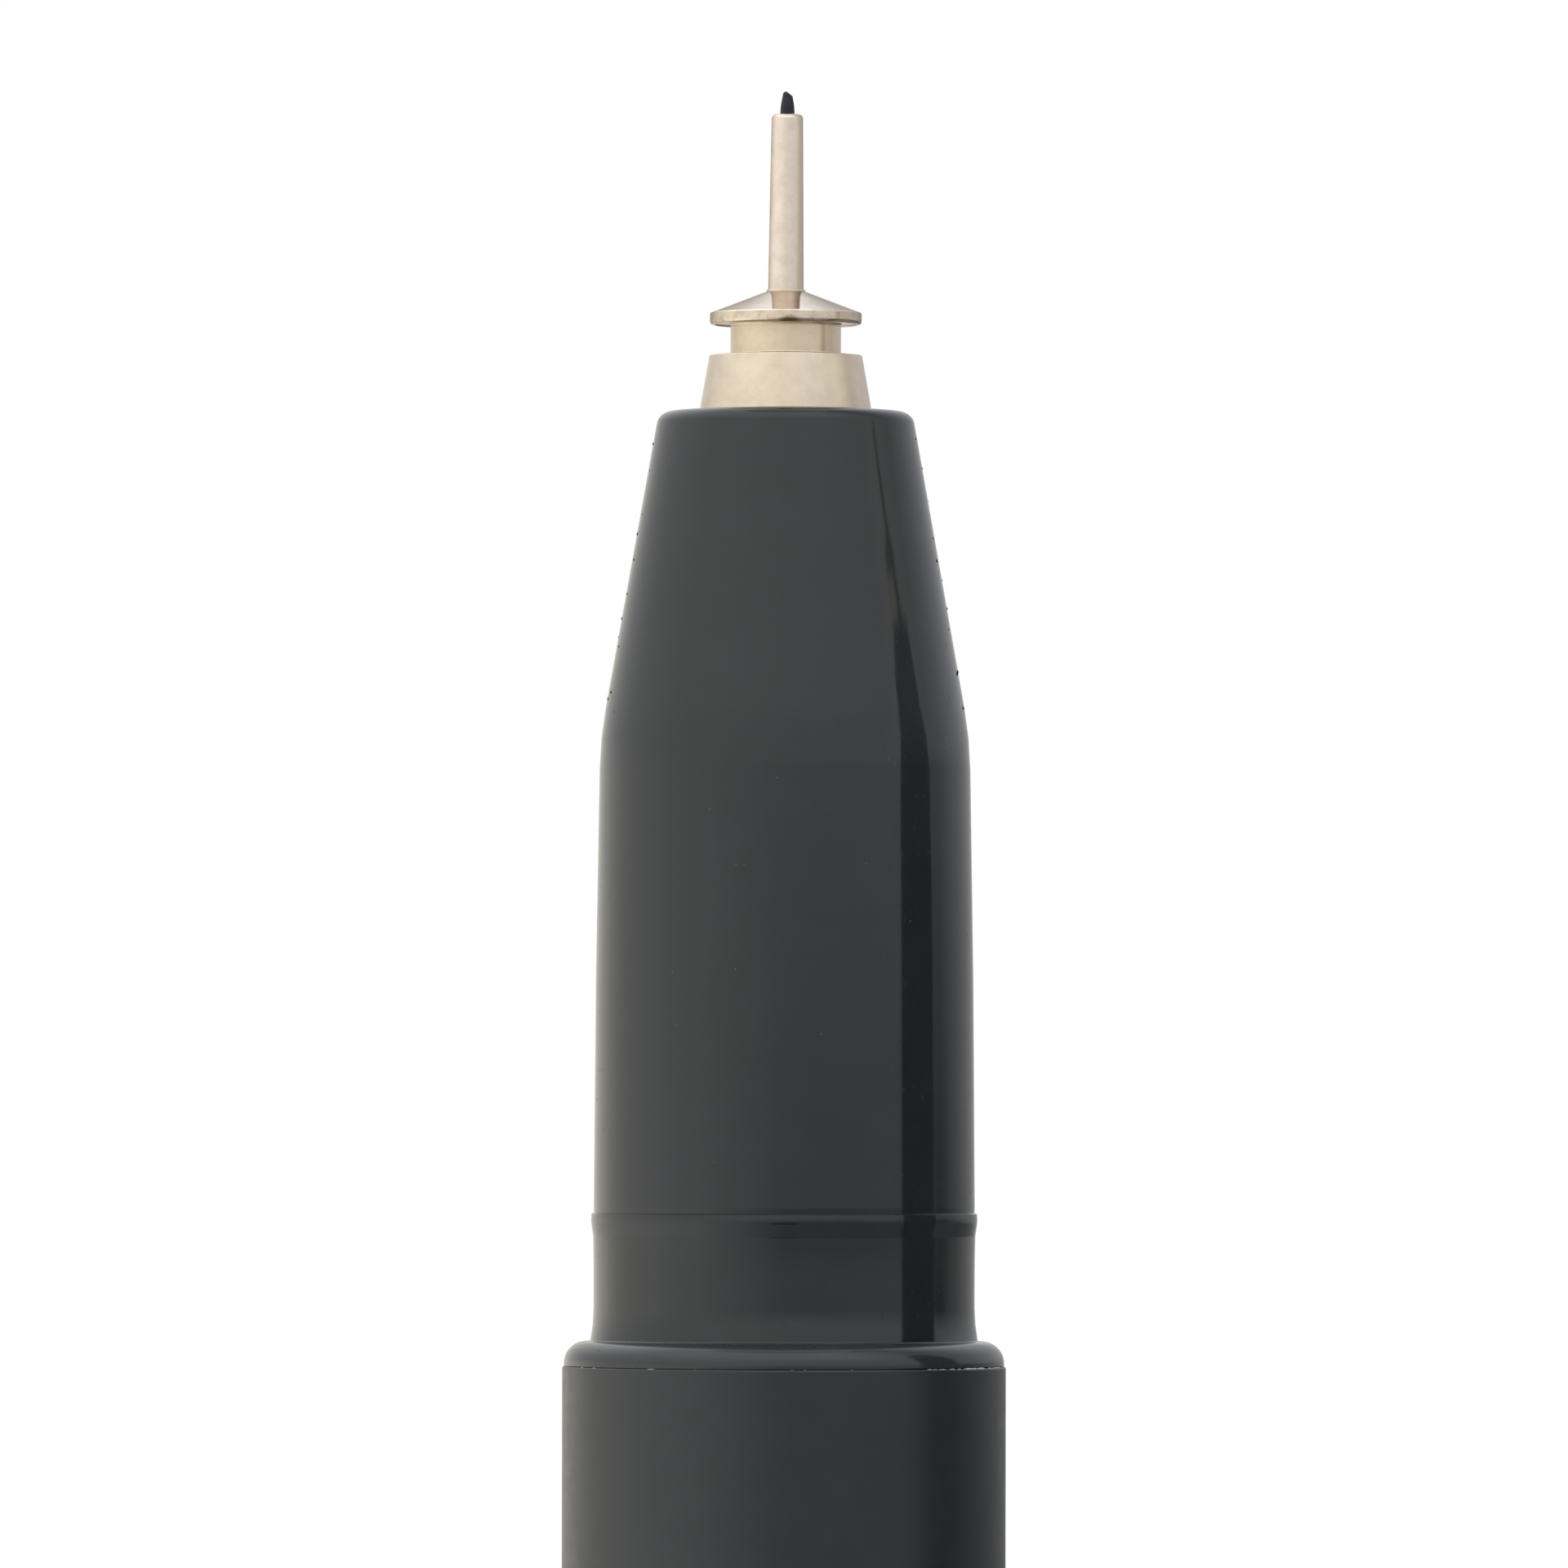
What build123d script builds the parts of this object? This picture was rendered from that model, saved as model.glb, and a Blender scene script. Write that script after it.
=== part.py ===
from build123d import *
import os

# A fineliner pen that stands nib up, with its cap posted on the rear end.
# Millimetres. +Z runs along the pen's axis towards the nib, the clip is on the +X side,
# and the origin is the centre of the cap's flat end, on which the pen stands.

# Fits that all the pieces share
PRESS_CLEARANCE = 0.02          # radial gap of a pressed fit
SLIDE_CLEARANCE = 0.05          # radial gap between a snap bead and the cap's bore
OVERRUN = 1.0                   # how far a cutter runs past the face that it cuts

# Barrel: a straight tube, ribbed inside to hold the reservoir off the wall
BARREL_DIAMETER = 10.5
BARREL_LENGTH = 89.0
BARREL_WALL = 1.1
BARREL_CHAMFER = 0.12           # at the rear end
RIB_COUNT = 6
RIB_HEIGHT = 0.6
RIB_WIDTH = 0.8
RIB_END_GAP = 1.5               # from the end of a rib to the spigot beside it

# Cap seat, alike on the front section and on the posting stub
CAP_STEP = 0.3                  # the cap is this much larger in radius than the barrel
CAP_WALL = 0.945
BEAD_HEIGHT = 0.065
BEAD_WIDTH = 0.44
BEAD_CREST_WIDTH = 0.14
BEAD_OFFSET = 2.88              # from the cap's mouth to the middle of the bead

# Front section: nose taper, grip, shoulder and the spigot in the barrel
GRIP_LENGTH = 14.25             # from the shoulder to the start of the nose taper
GRIP_DRAFT = 0.14               # what the radius loses along the grip
NOSE_LENGTH = 7.79
NOSE_DROP = 1.37                # what the radius loses along the nose taper
NOSE_EDGE_CHAMFER = 0.2
NOSE_BLEND_RADIUS = 9.0         # between the grip and the nose taper
FLARE_HEIGHT = 0.5
FLARE_STEP = 0.075
SHOULDER_ROUND = 0.52
SHOULDER_STEP = 0.04            # the shoulder is this much smaller in radius than the barrel
SHOULDER_LAND = 0.04            # straight rim between the round and the parting line
SECTION_SPIGOT_LENGTH = 9.0
SPIGOT_CHAMFER = 0.35
LEDGE_DEPTH = 9.0               # from the shoulder up to the ledge that stops the reservoir
LEDGE_WIDTH = 0.6

# Tip collar: turned flange, neck and cone, with a grooved shank in the nose
COLLAR_HEIGHT = 1.31
COLLAR_BASE_DIAMETER = 4.09
COLLAR_TOP_DIAMETER = 3.62
NECK_LENGTH = 0.72
NECK_DIAMETER = 2.62
FLANGE_DIAMETER = 3.6
FLANGE_RIM_HEIGHT = 0.28
FLANGE_CONE_HEIGHT = 0.56
FLANGE_CHAMFER = 0.07           # on the underside's rim
SHANK_DIAMETER = 3.3
SHANK_LENGTH = 3.6
SHANK_CHAMFER = 0.2
SHANK_GROOVE_COUNT = 3
SHANK_GROOVE_DEPTH = 0.12

# Nib tube and nib
TUBE_REACH = 4.16               # from the flange's cone to the tube's mouth
TUBE_BASE_DIAMETER = 0.843
TUBE_MOUTH_DIAMETER = 0.745
TUBE_MOUTH_CHAMFER = 0.08
NIB_DIAMETER = 0.36
NIB_REACH = 0.54                # from the tube's mouth to the nib's point
NIB_TIP_ROUND = 0.14
NIB_TAIL = 1.0                  # how far the nib reaches into the wick

# Ink: wick, fibre core and its wrap
WICK_DIAMETER = 1.6
WICK_SOCKET_DEPTH = 2.6         # of the wick in the collar's shank
WICK_INSERT_DEPTH = 8.0         # of the wick in the fibre core
WRAP_THICKNESS = 0.1

# Rear plug: spigot in the barrel and the stub that takes the cap
POST_GAP = 0.15                 # seam between the posted cap and the barrel
STUB_LENGTH = 12.0
STUB_CHAMFER = 0.8
STUB_END_WALL = 1.4
PLUG_SPIGOT_LENGTH = 7.0

# Cap: shell, sealing cup, end plug and clip
CAP_LENGTH = 36.0
CAP_MOUTH_CHAMFER = 0.2
CAP_END_CHAMFER = 0.1
CAP_END_WALL = 1.2
SNAP_GROOVE_DEPTH = 0.07
SNAP_GROOVE_WIDTH = 0.7
CUP_BORE_LENGTH = 15.0          # of the narrower bore that holds the sealing cup
CUP_BORE_STEP = 0.25
CUP_WALL = 0.6
CUP_FLOOR = 2.4
CUP_FLANGE_HEIGHT = 2.0
CUP_LIP_DEPTH = 0.6             # of the lip that is flared to the nose taper
CUP_FIN_COUNT = 4
CUP_FIN_HEIGHT = 0.535          # from the cup's wall out to the bore that the fins bear on
CUP_FIN_WIDTH = 0.7
CUP_FIN_GAP = 2.0               # from the cup's rim down to the end of a fin
FOOT_THICKNESS = 1.4
FOOT_EDGE_CHAMFER = 0.4
STEM_DIAMETER = 5.0
STEM_CHAMFER = 0.3
STEM_INSERT_DEPTH = 1.5         # of the plug's stem in the sealing cup

CLIP_THICKNESS = 0.5
CLIP_ROOT_WIDTH = 4.0
CLIP_TIP_WIDTH = 3.0
CLIP_STANDOFF = 1.1             # from the shell to the arm, at the root
CLIP_TOUCH_GAP = 0.05           # from the shell to the arm, where the arm bears on it
CLIP_BEND_RADIUS = 0.8
CLIP_TOUCH_RADIUS = 4.0
CLIP_TOUCH_LENGTH = 27.0        # from the ring to the point where the arm bears
CLIP_LEAD_LENGTH = 3.6          # of the turned-out lead past that point
CLIP_LEAD_RISE = 0.8

# A round is at most this share of the step that it is on
ROUND_LIMIT_SHARE = 0.9

# Radii, from the barrel inwards
barrel_radius = BARREL_DIAMETER / 2
barrel_bore = barrel_radius - BARREL_WALL
spigot_radius = barrel_bore - PRESS_CLEARANCE
wrap_radius = barrel_bore - RIB_HEIGHT - PRESS_CLEARANCE
core_radius = wrap_radius - WRAP_THICKNESS - PRESS_CLEARANCE
ledge_bore = wrap_radius - LEDGE_WIDTH
wick_radius = WICK_DIAMETER / 2
nib_radius = NIB_DIAMETER / 2
shank_radius = SHANK_DIAMETER / 2

cap_radius = barrel_radius + CAP_STEP
cap_bore = cap_radius - CAP_WALL
bead_radius = cap_bore - SLIDE_CLEARANCE
seat_radius = bead_radius - BEAD_HEIGHT
grip_end_radius = seat_radius - GRIP_DRAFT
nose_radius = grip_end_radius - NOSE_DROP
nose_slope = NOSE_DROP / NOSE_LENGTH

cup_bore = cap_bore - CUP_BORE_STEP
cup_fit_radius = cup_bore - PRESS_CLEARANCE
cup_radius = cup_fit_radius - CUP_FIN_HEIGHT - CUP_WALL
stem_radius = STEM_DIAMETER / 2

# Heights, from the cap's flat end up to the nib's point
shell_end = FOOT_THICKNESS + CLIP_THICKNESS
cup_base = shell_end + CAP_END_WALL
cup_floor = cup_base + CUP_FLOOR
seal_depth = GRIP_LENGTH + NOSE_LENGTH - (cup_radius - nose_radius) / nose_slope
cup_rim = CAP_LENGTH - seal_depth + CUP_LIP_DEPTH
snap_height = CAP_LENGTH - BEAD_OFFSET

barrel_rear = CAP_LENGTH + POST_GAP
barrel_front = barrel_rear + BARREL_LENGTH
plug_top = barrel_rear + PLUG_SPIGOT_LENGTH
spigot_end = barrel_front - SECTION_SPIGOT_LENGTH
shoulder = barrel_front + SHOULDER_LAND + SHOULDER_ROUND
ledge = shoulder + LEDGE_DEPTH
nose_start = shoulder + GRIP_LENGTH
nose_face = nose_start + NOSE_LENGTH
shank_end = nose_face - SHANK_LENGTH
wick_seat = shank_end + WICK_SOCKET_DEPTH
wick_end = ledge - WICK_INSERT_DEPTH
collar_top = nose_face + COLLAR_HEIGHT
flange_under = collar_top + NECK_LENGTH
flange_rim = flange_under + FLANGE_RIM_HEIGHT
flange_cone = flange_rim + FLANGE_CONE_HEIGHT
tube_mouth = flange_cone + TUBE_REACH
nib_tip = tube_mouth + NIB_REACH


def turned(*corners):
    """Solid turned about the pen's axis: each corner is a radius, a height and a rounding."""
    points = [(radius, height) for radius, height, rounding in corners]
    roundings = [rounding for radius, height, rounding in corners]
    with BuildPart() as piece:
        with BuildSketch(Plane.XZ):
            with BuildLine():
                FilletPolyline(*points, radius=roundings, close=True)
            make_face()
        revolve(axis=Axis.Z)
    return piece.part


def rod(radius, bottom, top):
    """Plain round rod on the pen's axis."""
    return turned((0, bottom, 0), (radius, bottom, 0), (radius, top, 0), (0, top, 0))


def bead(height):
    """Corners of the snap bead on its seat: a ramp up, a narrow crest and a ramp down."""
    return (
        (seat_radius, height - BEAD_WIDTH / 2, 0),
        (bead_radius, height - BEAD_CREST_WIDTH / 2, 0),
        (bead_radius, height + BEAD_CREST_WIDTH / 2, 0),
        (seat_radius, height + BEAD_WIDTH / 2, 0),
    )


def around(piece, count):
    """Copies of a piece, evenly spaced about the pen's axis."""
    return [Rot(0, 0, index * 360 / count) * piece for index in range(count)]


def nib():
    """Fibre rod with a rounded point; its tail sits in the wick."""
    bottom = wick_seat - NIB_TAIL
    return turned(
        (0, bottom, 0),
        (nib_radius, bottom, 0),
        (nib_radius, nib_tip, NIB_TIP_ROUND),
        (0, nib_tip, 0),
    )


def nib_tube():
    """Thin tube, tapered where it shows and straight inside the collar."""
    mouth_radius = TUBE_MOUTH_DIAMETER / 2
    base_radius = TUBE_BASE_DIAMETER / 2
    bore = nib_radius + PRESS_CLEARANCE
    chamfer_size = min(TUBE_MOUTH_CHAMFER, ROUND_LIMIT_SHARE * (mouth_radius - bore))
    return turned(
        (bore, wick_seat, 0),
        (base_radius, wick_seat, 0),
        (base_radius, flange_cone, 0),
        (mouth_radius, tube_mouth - chamfer_size, 0),
        (mouth_radius - chamfer_size, tube_mouth, 0),
        (bore, tube_mouth, 0),
    )


def tip_collar():
    """Turned tip: cone and flange, neck, collar on the nose's face, and the shank inside the nose."""
    base_radius = COLLAR_BASE_DIAMETER / 2
    top_radius = COLLAR_TOP_DIAMETER / 2
    neck_radius = NECK_DIAMETER / 2
    flange_radius = FLANGE_DIAMETER / 2
    tube_bore = TUBE_BASE_DIAMETER / 2 + PRESS_CLEARANCE
    fit_radius = shank_radius - PRESS_CLEARANCE
    body = turned(
        (0, shank_end, 0),
        (fit_radius - SHANK_CHAMFER, shank_end, 0),
        (fit_radius, shank_end + SHANK_CHAMFER, 0),
        (fit_radius, nose_face, 0),
        (base_radius, nose_face, 0),
        (top_radius, collar_top, 0),
        (neck_radius, collar_top, 0),
        (neck_radius, flange_under, 0),
        (flange_radius - FLANGE_CHAMFER, flange_under, 0),
        (flange_radius, flange_under + FLANGE_CHAMFER, 0),
        (flange_radius, flange_rim, 0),
        (tube_bore, flange_cone, 0),
        (0, flange_cone, 0),
    )
    body -= rod(tube_bore, shank_end - OVERRUN, flange_cone + OVERRUN)
    body -= rod(wick_radius + PRESS_CLEARANCE, shank_end - OVERRUN, wick_seat)
    pitch = SHANK_LENGTH / (2 * SHANK_GROOVE_COUNT + 1)
    for index in range(SHANK_GROOVE_COUNT):
        bottom = shank_end + pitch * (2 * index + 1)
        body -= turned(
            (fit_radius - SHANK_GROOVE_DEPTH, bottom, 0),
            (shank_radius + OVERRUN, bottom, 0),
            (shank_radius + OVERRUN, bottom + pitch, 0),
            (fit_radius - SHANK_GROOVE_DEPTH, bottom + pitch, 0),
        )
    return body


def feed_wick():
    """Fibre rod from the nib's tail into the core."""
    body = rod(wick_radius, wick_end, wick_seat)
    return body - rod(nib_radius + PRESS_CLEARANCE, wick_seat - NIB_TAIL, wick_seat + OVERRUN)


def front_section():
    """Moulded nose, grip and shoulder, hollow for the reservoir, with a spigot in the barrel."""
    shoulder_radius = barrel_radius - SHOULDER_STEP
    flare_radius = seat_radius + FLARE_STEP
    shoulder_round = min(SHOULDER_ROUND, ROUND_LIMIT_SHARE * (shoulder_radius - flare_radius))
    body = turned(
        (0, spigot_end, 0),
        (spigot_radius - SPIGOT_CHAMFER, spigot_end, 0),
        (spigot_radius, spigot_end + SPIGOT_CHAMFER, 0),
        (spigot_radius, barrel_front, 0),
        (shoulder_radius, barrel_front, 0),
        (shoulder_radius, shoulder, shoulder_round),
        (flare_radius, shoulder, 0),
        (seat_radius, shoulder + FLARE_HEIGHT, 0),
        *bead(shoulder + BEAD_OFFSET),
        (grip_end_radius, nose_start, NOSE_BLEND_RADIUS),
        (nose_radius + nose_slope * NOSE_EDGE_CHAMFER, nose_face - NOSE_EDGE_CHAMFER, 0),
        (nose_radius - NOSE_EDGE_CHAMFER, nose_face, 0),
        (0, nose_face, 0),
    )
    bore = wrap_radius + PRESS_CLEARANCE
    hollow = turned(
        (0, spigot_end - OVERRUN, 0),
        (bore, spigot_end - OVERRUN, 0),
        (bore, ledge, 0),
        (ledge_bore, ledge, 0),
        (ledge_bore, nose_start, 0),
        (shank_radius, shank_end, 0),
        (shank_radius, nose_face + OVERRUN, 0),
        (0, nose_face + OVERRUN, 0),
    )
    return body - hollow


def barrel():
    """Straight tube with ribs along its bore between the two spigots."""
    body = turned(
        (barrel_bore, barrel_rear, 0),
        (barrel_radius - BARREL_CHAMFER, barrel_rear, 0),
        (barrel_radius, barrel_rear + BARREL_CHAMFER, 0),
        (barrel_radius, barrel_front - SHOULDER_STEP, 0),
        (barrel_radius - SHOULDER_STEP, barrel_front, 0),
        (barrel_bore, barrel_front, 0),
    )
    rib_bottom = plug_top + RIB_END_GAP
    rib_top = spigot_end - RIB_END_GAP
    rib_inside = barrel_bore - RIB_HEIGHT
    rib_outside = barrel_bore + BARREL_WALL / 2
    rib = Pos((rib_inside + rib_outside) / 2, 0, (rib_bottom + rib_top) / 2) * Box(
        rib_outside - rib_inside, RIB_WIDTH, rib_top - rib_bottom
    )
    return body + around(rib, RIB_COUNT)


def ink_reservoir():
    """Fibre core between the rear plug and the section's ledge, with a hole for the wick."""
    return rod(core_radius, plug_top, ledge) - rod(
        wick_radius + PRESS_CLEARANCE, wick_end, ledge + OVERRUN
    )


def reservoir_wrap():
    """Film round the core, as long as the core."""
    inside = wrap_radius - WRAP_THICKNESS
    return rod(wrap_radius, plug_top, ledge) - rod(inside, plug_top - OVERRUN, ledge + OVERRUN)


def rear_plug():
    """Hollow plug: spigot in the barrel, ledge for the reservoir, and the stub that takes the cap."""
    stub_end = barrel_rear - STUB_LENGTH
    body = turned(
        (0, stub_end, 0),
        (seat_radius - STUB_CHAMFER, stub_end, 0),
        (seat_radius, stub_end + STUB_CHAMFER, 0),
        *bead(snap_height),
        (seat_radius, barrel_rear, 0),
        (spigot_radius, barrel_rear, 0),
        (spigot_radius, plug_top - SPIGOT_CHAMFER, 0),
        (spigot_radius - SPIGOT_CHAMFER, plug_top, 0),
        (0, plug_top, 0),
    )
    return body - rod(ledge_bore, stub_end + STUB_END_WALL, plug_top + OVERRUN)


def cap_shell():
    """Cap tube: mouth bore with a snap groove, a narrower bore for the cup, and an end wall."""
    cup_bore_top = cup_base + CUP_BORE_LENGTH
    mouth_chamfer = min(CAP_MOUTH_CHAMFER, ROUND_LIMIT_SHARE * CAP_WALL / 2)
    body = turned(
        (stem_radius + PRESS_CLEARANCE, shell_end, 0),
        (cap_radius - CAP_END_CHAMFER, shell_end, 0),
        (cap_radius, shell_end + CAP_END_CHAMFER, 0),
        (cap_radius, CAP_LENGTH - mouth_chamfer, 0),
        (cap_radius - mouth_chamfer, CAP_LENGTH, 0),
        (cap_bore + mouth_chamfer, CAP_LENGTH, 0),
        (cap_bore, CAP_LENGTH - mouth_chamfer, 0),
        (cap_bore, cup_bore_top + CUP_BORE_STEP, 0),
        (cup_bore, cup_bore_top, 0),
        (cup_bore, cup_base, 0),
        (stem_radius + PRESS_CLEARANCE, cup_base, 0),
    )
    return body - turned(
        (cap_bore - OVERRUN, snap_height - SNAP_GROOVE_WIDTH / 2, 0),
        (cap_bore, snap_height - SNAP_GROOVE_WIDTH / 2, 0),
        (cap_bore + SNAP_GROOVE_DEPTH, snap_height, 0),
        (cap_bore, snap_height + SNAP_GROOVE_WIDTH / 2, 0),
        (cap_bore - OVERRUN, snap_height + SNAP_GROOVE_WIDTH / 2, 0),
    )


def inner_cap():
    """Sealing cup: flanged base, finned wall and a lip flared to the nose taper."""
    outside = cup_radius + CUP_WALL
    body = turned(
        (0, cup_base, 0),
        (cup_fit_radius, cup_base, 0),
        (cup_fit_radius, cup_base + CUP_FLANGE_HEIGHT, 0),
        (outside, cup_base + CUP_FLANGE_HEIGHT, 0),
        (outside, cup_rim, 0),
        (0, cup_rim, 0),
    )
    fin_top = cup_rim - CUP_FIN_GAP
    fin = Pos((cup_radius + cup_bore) / 2, 0, (cup_base + fin_top) / 2) * Box(
        cup_bore - cup_radius, CUP_FIN_WIDTH, fin_top - cup_base
    )
    body += [copy & rod(cup_fit_radius, cup_base, fin_top) for copy in around(fin, CUP_FIN_COUNT)]
    body -= turned(
        (0, cup_floor, 0),
        (cup_radius, cup_floor, 0),
        (cup_radius, cup_rim - CUP_LIP_DEPTH, 0),
        (cup_radius + nose_slope * CUP_LIP_DEPTH, cup_rim, 0),
        (0, cup_rim, 0),
    )
    return body - rod(stem_radius + PRESS_CLEARANCE, cup_base - OVERRUN, cup_base + STEM_INSERT_DEPTH)


def cap_plug():
    """End plug: the round foot that the pen stands on, and a stem through the shell into the cup."""
    stem_end = cup_base + STEM_INSERT_DEPTH
    return turned(
        (0, 0, 0),
        (cap_radius - FOOT_EDGE_CHAMFER, 0, 0),
        (cap_radius, FOOT_EDGE_CHAMFER, 0),
        (cap_radius, FOOT_THICKNESS - CAP_END_CHAMFER, 0),
        (cap_radius - CAP_END_CHAMFER, FOOT_THICKNESS, 0),
        (stem_radius, FOOT_THICKNESS, 0),
        (stem_radius, stem_end - STEM_CHAMFER, 0),
        (stem_radius - STEM_CHAMFER, stem_end, 0),
        (0, stem_end, 0),
    )


def clip():
    """Spring strip bent up from a ring that the foot holds against the shell's end."""
    ring_middle = FOOT_THICKNESS + CLIP_THICKNESS / 2
    root_place = cap_radius + CLIP_STANDOFF + CLIP_THICKNESS / 2
    touch_place = cap_radius + CLIP_TOUCH_GAP + CLIP_THICKNESS / 2
    touch_height = ring_middle + CLIP_TOUCH_LENGTH
    lead_height = touch_height + CLIP_LEAD_LENGTH
    ring_inside = stem_radius + PRESS_CLEARANCE
    with BuildPart() as strip:
        with BuildSketch(Plane.XZ):
            with BuildLine() as route:
                FilletPolyline(
                    ((ring_inside + cap_radius) / 2, ring_middle),
                    (root_place, ring_middle),
                    (touch_place, touch_height),
                    (touch_place + CLIP_LEAD_RISE, lead_height),
                    radius=[CLIP_BEND_RADIUS, CLIP_TOUCH_RADIUS],
                )
            trace(route.line, CLIP_THICKNESS)
        extrude(amount=CLIP_ROOT_WIDTH / 2, both=True)
    outline_top = lead_height + CLIP_THICKNESS
    tip_round = ROUND_LIMIT_SHARE * CLIP_TIP_WIDTH / 2
    with BuildPart() as outline:
        with BuildSketch(Plane.YZ):
            with BuildLine():
                FilletPolyline(
                    (-CLIP_ROOT_WIDTH / 2, 0),
                    (CLIP_ROOT_WIDTH / 2, 0),
                    (CLIP_TIP_WIDTH / 2, outline_top),
                    (-CLIP_TIP_WIDTH / 2, outline_top),
                    radius=[0, 0, tip_round, tip_round],
                    close=True,
                )
            make_face()
        extrude(amount=root_place + OVERRUN)
    ring = rod(cap_radius, FOOT_THICKNESS, shell_end)
    body = ring + (strip.part & outline.part)
    return body - rod(ring_inside, FOOT_THICKNESS - OVERRUN, shell_end + OVERRUN)


pieces = [
    nib,
    nib_tube,
    tip_collar,
    feed_wick,
    front_section,
    barrel,
    ink_reservoir,
    reservoir_wrap,
    rear_plug,
    cap_shell,
    inner_cap,
    cap_plug,
    clip,
]

os.makedirs("parts", exist_ok=True)
for piece in pieces:
    export_step(piece(), f"parts/{piece.__name__}.step")
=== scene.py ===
import bpy
import math
import random
from mathutils import Matrix, Vector
from mathutils.bvhtree import BVHTree

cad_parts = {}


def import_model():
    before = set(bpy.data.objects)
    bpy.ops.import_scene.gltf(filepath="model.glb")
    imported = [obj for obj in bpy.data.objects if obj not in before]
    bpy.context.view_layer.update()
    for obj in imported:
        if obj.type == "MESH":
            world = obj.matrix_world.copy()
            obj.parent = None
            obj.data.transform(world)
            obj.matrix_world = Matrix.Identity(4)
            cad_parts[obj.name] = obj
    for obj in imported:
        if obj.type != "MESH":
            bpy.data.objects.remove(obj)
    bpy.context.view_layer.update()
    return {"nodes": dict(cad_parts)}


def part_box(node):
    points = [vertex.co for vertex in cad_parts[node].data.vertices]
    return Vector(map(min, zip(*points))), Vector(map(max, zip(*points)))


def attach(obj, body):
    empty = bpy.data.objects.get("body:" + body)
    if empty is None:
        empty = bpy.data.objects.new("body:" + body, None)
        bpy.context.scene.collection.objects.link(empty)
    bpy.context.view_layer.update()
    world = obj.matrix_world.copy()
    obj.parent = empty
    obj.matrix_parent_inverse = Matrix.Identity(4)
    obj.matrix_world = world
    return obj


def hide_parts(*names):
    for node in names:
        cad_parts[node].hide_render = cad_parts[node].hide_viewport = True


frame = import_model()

scene = bpy.context.scene

# A fineliner pen that stands nib up with its cap posted on the rear end, seen close up at its front.
# Metres. The pen's axis is Z, the photograph looks along +Y, and +X is to the right.

# How finely the turned pieces are divided
FINE_SEGMENTS = 360
TUBE_SEGMENTS = 192
NIB_SEGMENTS = 96
NIB_PARTS = 12  # to the length of a nib's radius
ARC_STEP = math.radians(7.5)
ARC_LEAST_STEPS = 2
LEAST_TURN = ARC_STEP / 10  # a corner that turns less gets no arc
POLE_RADIUS = 1e-9
EDGE_ROUND = 0.00002  # least rounding, on edges that look sharp

# Front section
SHOULDER_ROUND = 0.00052
SHOULDER_LAND = 0.00004
FLARE_STEP = 0.000077
FLARE_HEIGHT = 0.0004
FLARE_ROUND = 0.0042
FLARE_FOOT_ROUND = 0.00006
SEAT_STEP = 0.00072  # from the shoulder's rim in to the seat
SEAT_SWELL = 0.00002  # over its nominal radius
BEAD_HEIGHT = 0.000065
SINK_LOW = 0.0019  # the seat sinks from the bead down to here
BEAD_LOW = 0.00249  # from the shoulder to the bead's lower foot
BEAD_FOOT_RISE = 0.000014  # of that foot over the seat
BEAD_CREST_LOW = 0.00284
BEAD_CREST_FALL = 0.00001  # of its upper edge behind its lower one
BEAD_CREST_TOP = 0.003012
BEAD_TOP = 0.00304
BEAD_ROUND = 0.0003
BEAD_CREST_ROUND = 0.0008
BEAD_EDGE_ROUND = 0.000008
BEAD_GROOVE = 0.000004  # depth of the groove over the bead
BEAD_GROOVE_TOP = 0.003165
BEAD_FOOT_ROUND = 0.0004
SINK_ROUND = 0.03
BEAD_HALF_WIDTH = 0.00022  # of the bead on the posting stub
GRIP_LENGTH = 0.01425
GRIP_DRAFT = 0.00014
GRIP_MIDDLE = 0.0085  # where its slight swell turns into the draft
GRIP_MIDDLE_SWELL = 0.000064
GRIP_END_SWELL = 0.00003
GRIP_BLEND_RADIUS = 0.25
NOSE_DROP = 0.00137
NOSE_SWELL = 0.000025
NOSE_BLEND_RADIUS = 0.0092
NOSE_EDGE_ROUND = 0.00034
LEDGE_DEPTH = 0.009
LEDGE_WIDTH = 0.0006
SPIGOT_CHAMFER = 0.00035
PRESS_CLEARANCE = 0.00002
NOSE_SINK = 0.00003  # of the nose's face under its nominal height
PARTING_DROP = 0.00003  # of the parting line under its nominal height
GAP_DEPTH = 0.000035  # between shoulder and barrel, on the right
GAP_MIDDLE = math.radians(-36)
GAP_SPREAD = math.radians(26)
TAG_REACH = 0.00006  # of a tag of flash at the shoulder's lower edge
TAG_SPREAD = math.radians(2.5)

# Slivers of flash at the barrel's end: first and last angle in degrees, count, and size
FLASH_RUNS = [(-50, -41, 5, 0.7), (-41, -36, 2, 1.0), (-35, -25, 4, 1.5), (-24, -12, 5, 1.1),
              (204, 212, 2, 0.9), (-127, -125, 1, 0.9), (-115, -60, 4, 0.3), (10, 180, 30, 0.5)]
FLASH_SEED = 11
FLASH_DROP = 1e-5  # of its middle under the parting line
FLASH_DEGREES = (0.6, 1.6)  # half of a sliver's length
FLASH_HEIGHTS = (1.6e-5, 2.8e-5)
FLASH_REACHES = (1.8e-5, 3.6e-5)
FLASH_SECTIONS = (-1, -0.4, 0.3, 1)  # along it, in half lengths
FLASH_SIDES = 4
FLASH_END = 0.25  # least share of its size

# Specks: burrs along the mould's parting line on both sides of the taper, in a darker black as painted
# shade, and dust on the grip
BURR_COUNT = 11
BURR_SIZE = 0.00004
BURR_SWING = math.radians(11)
BURR_SEED = 5
DUST_COUNT = 80
DUST_SIZE = 0.000017
DUST_SEED = 8
SPECK_SIZES = (0.5, 1.2)  # least and largest, in named sizes
SPECK_OUT = 0.6  # in sizes, as the next two
SPECK_UP = 1.5
SPECK_DOWN = 1.1

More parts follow.
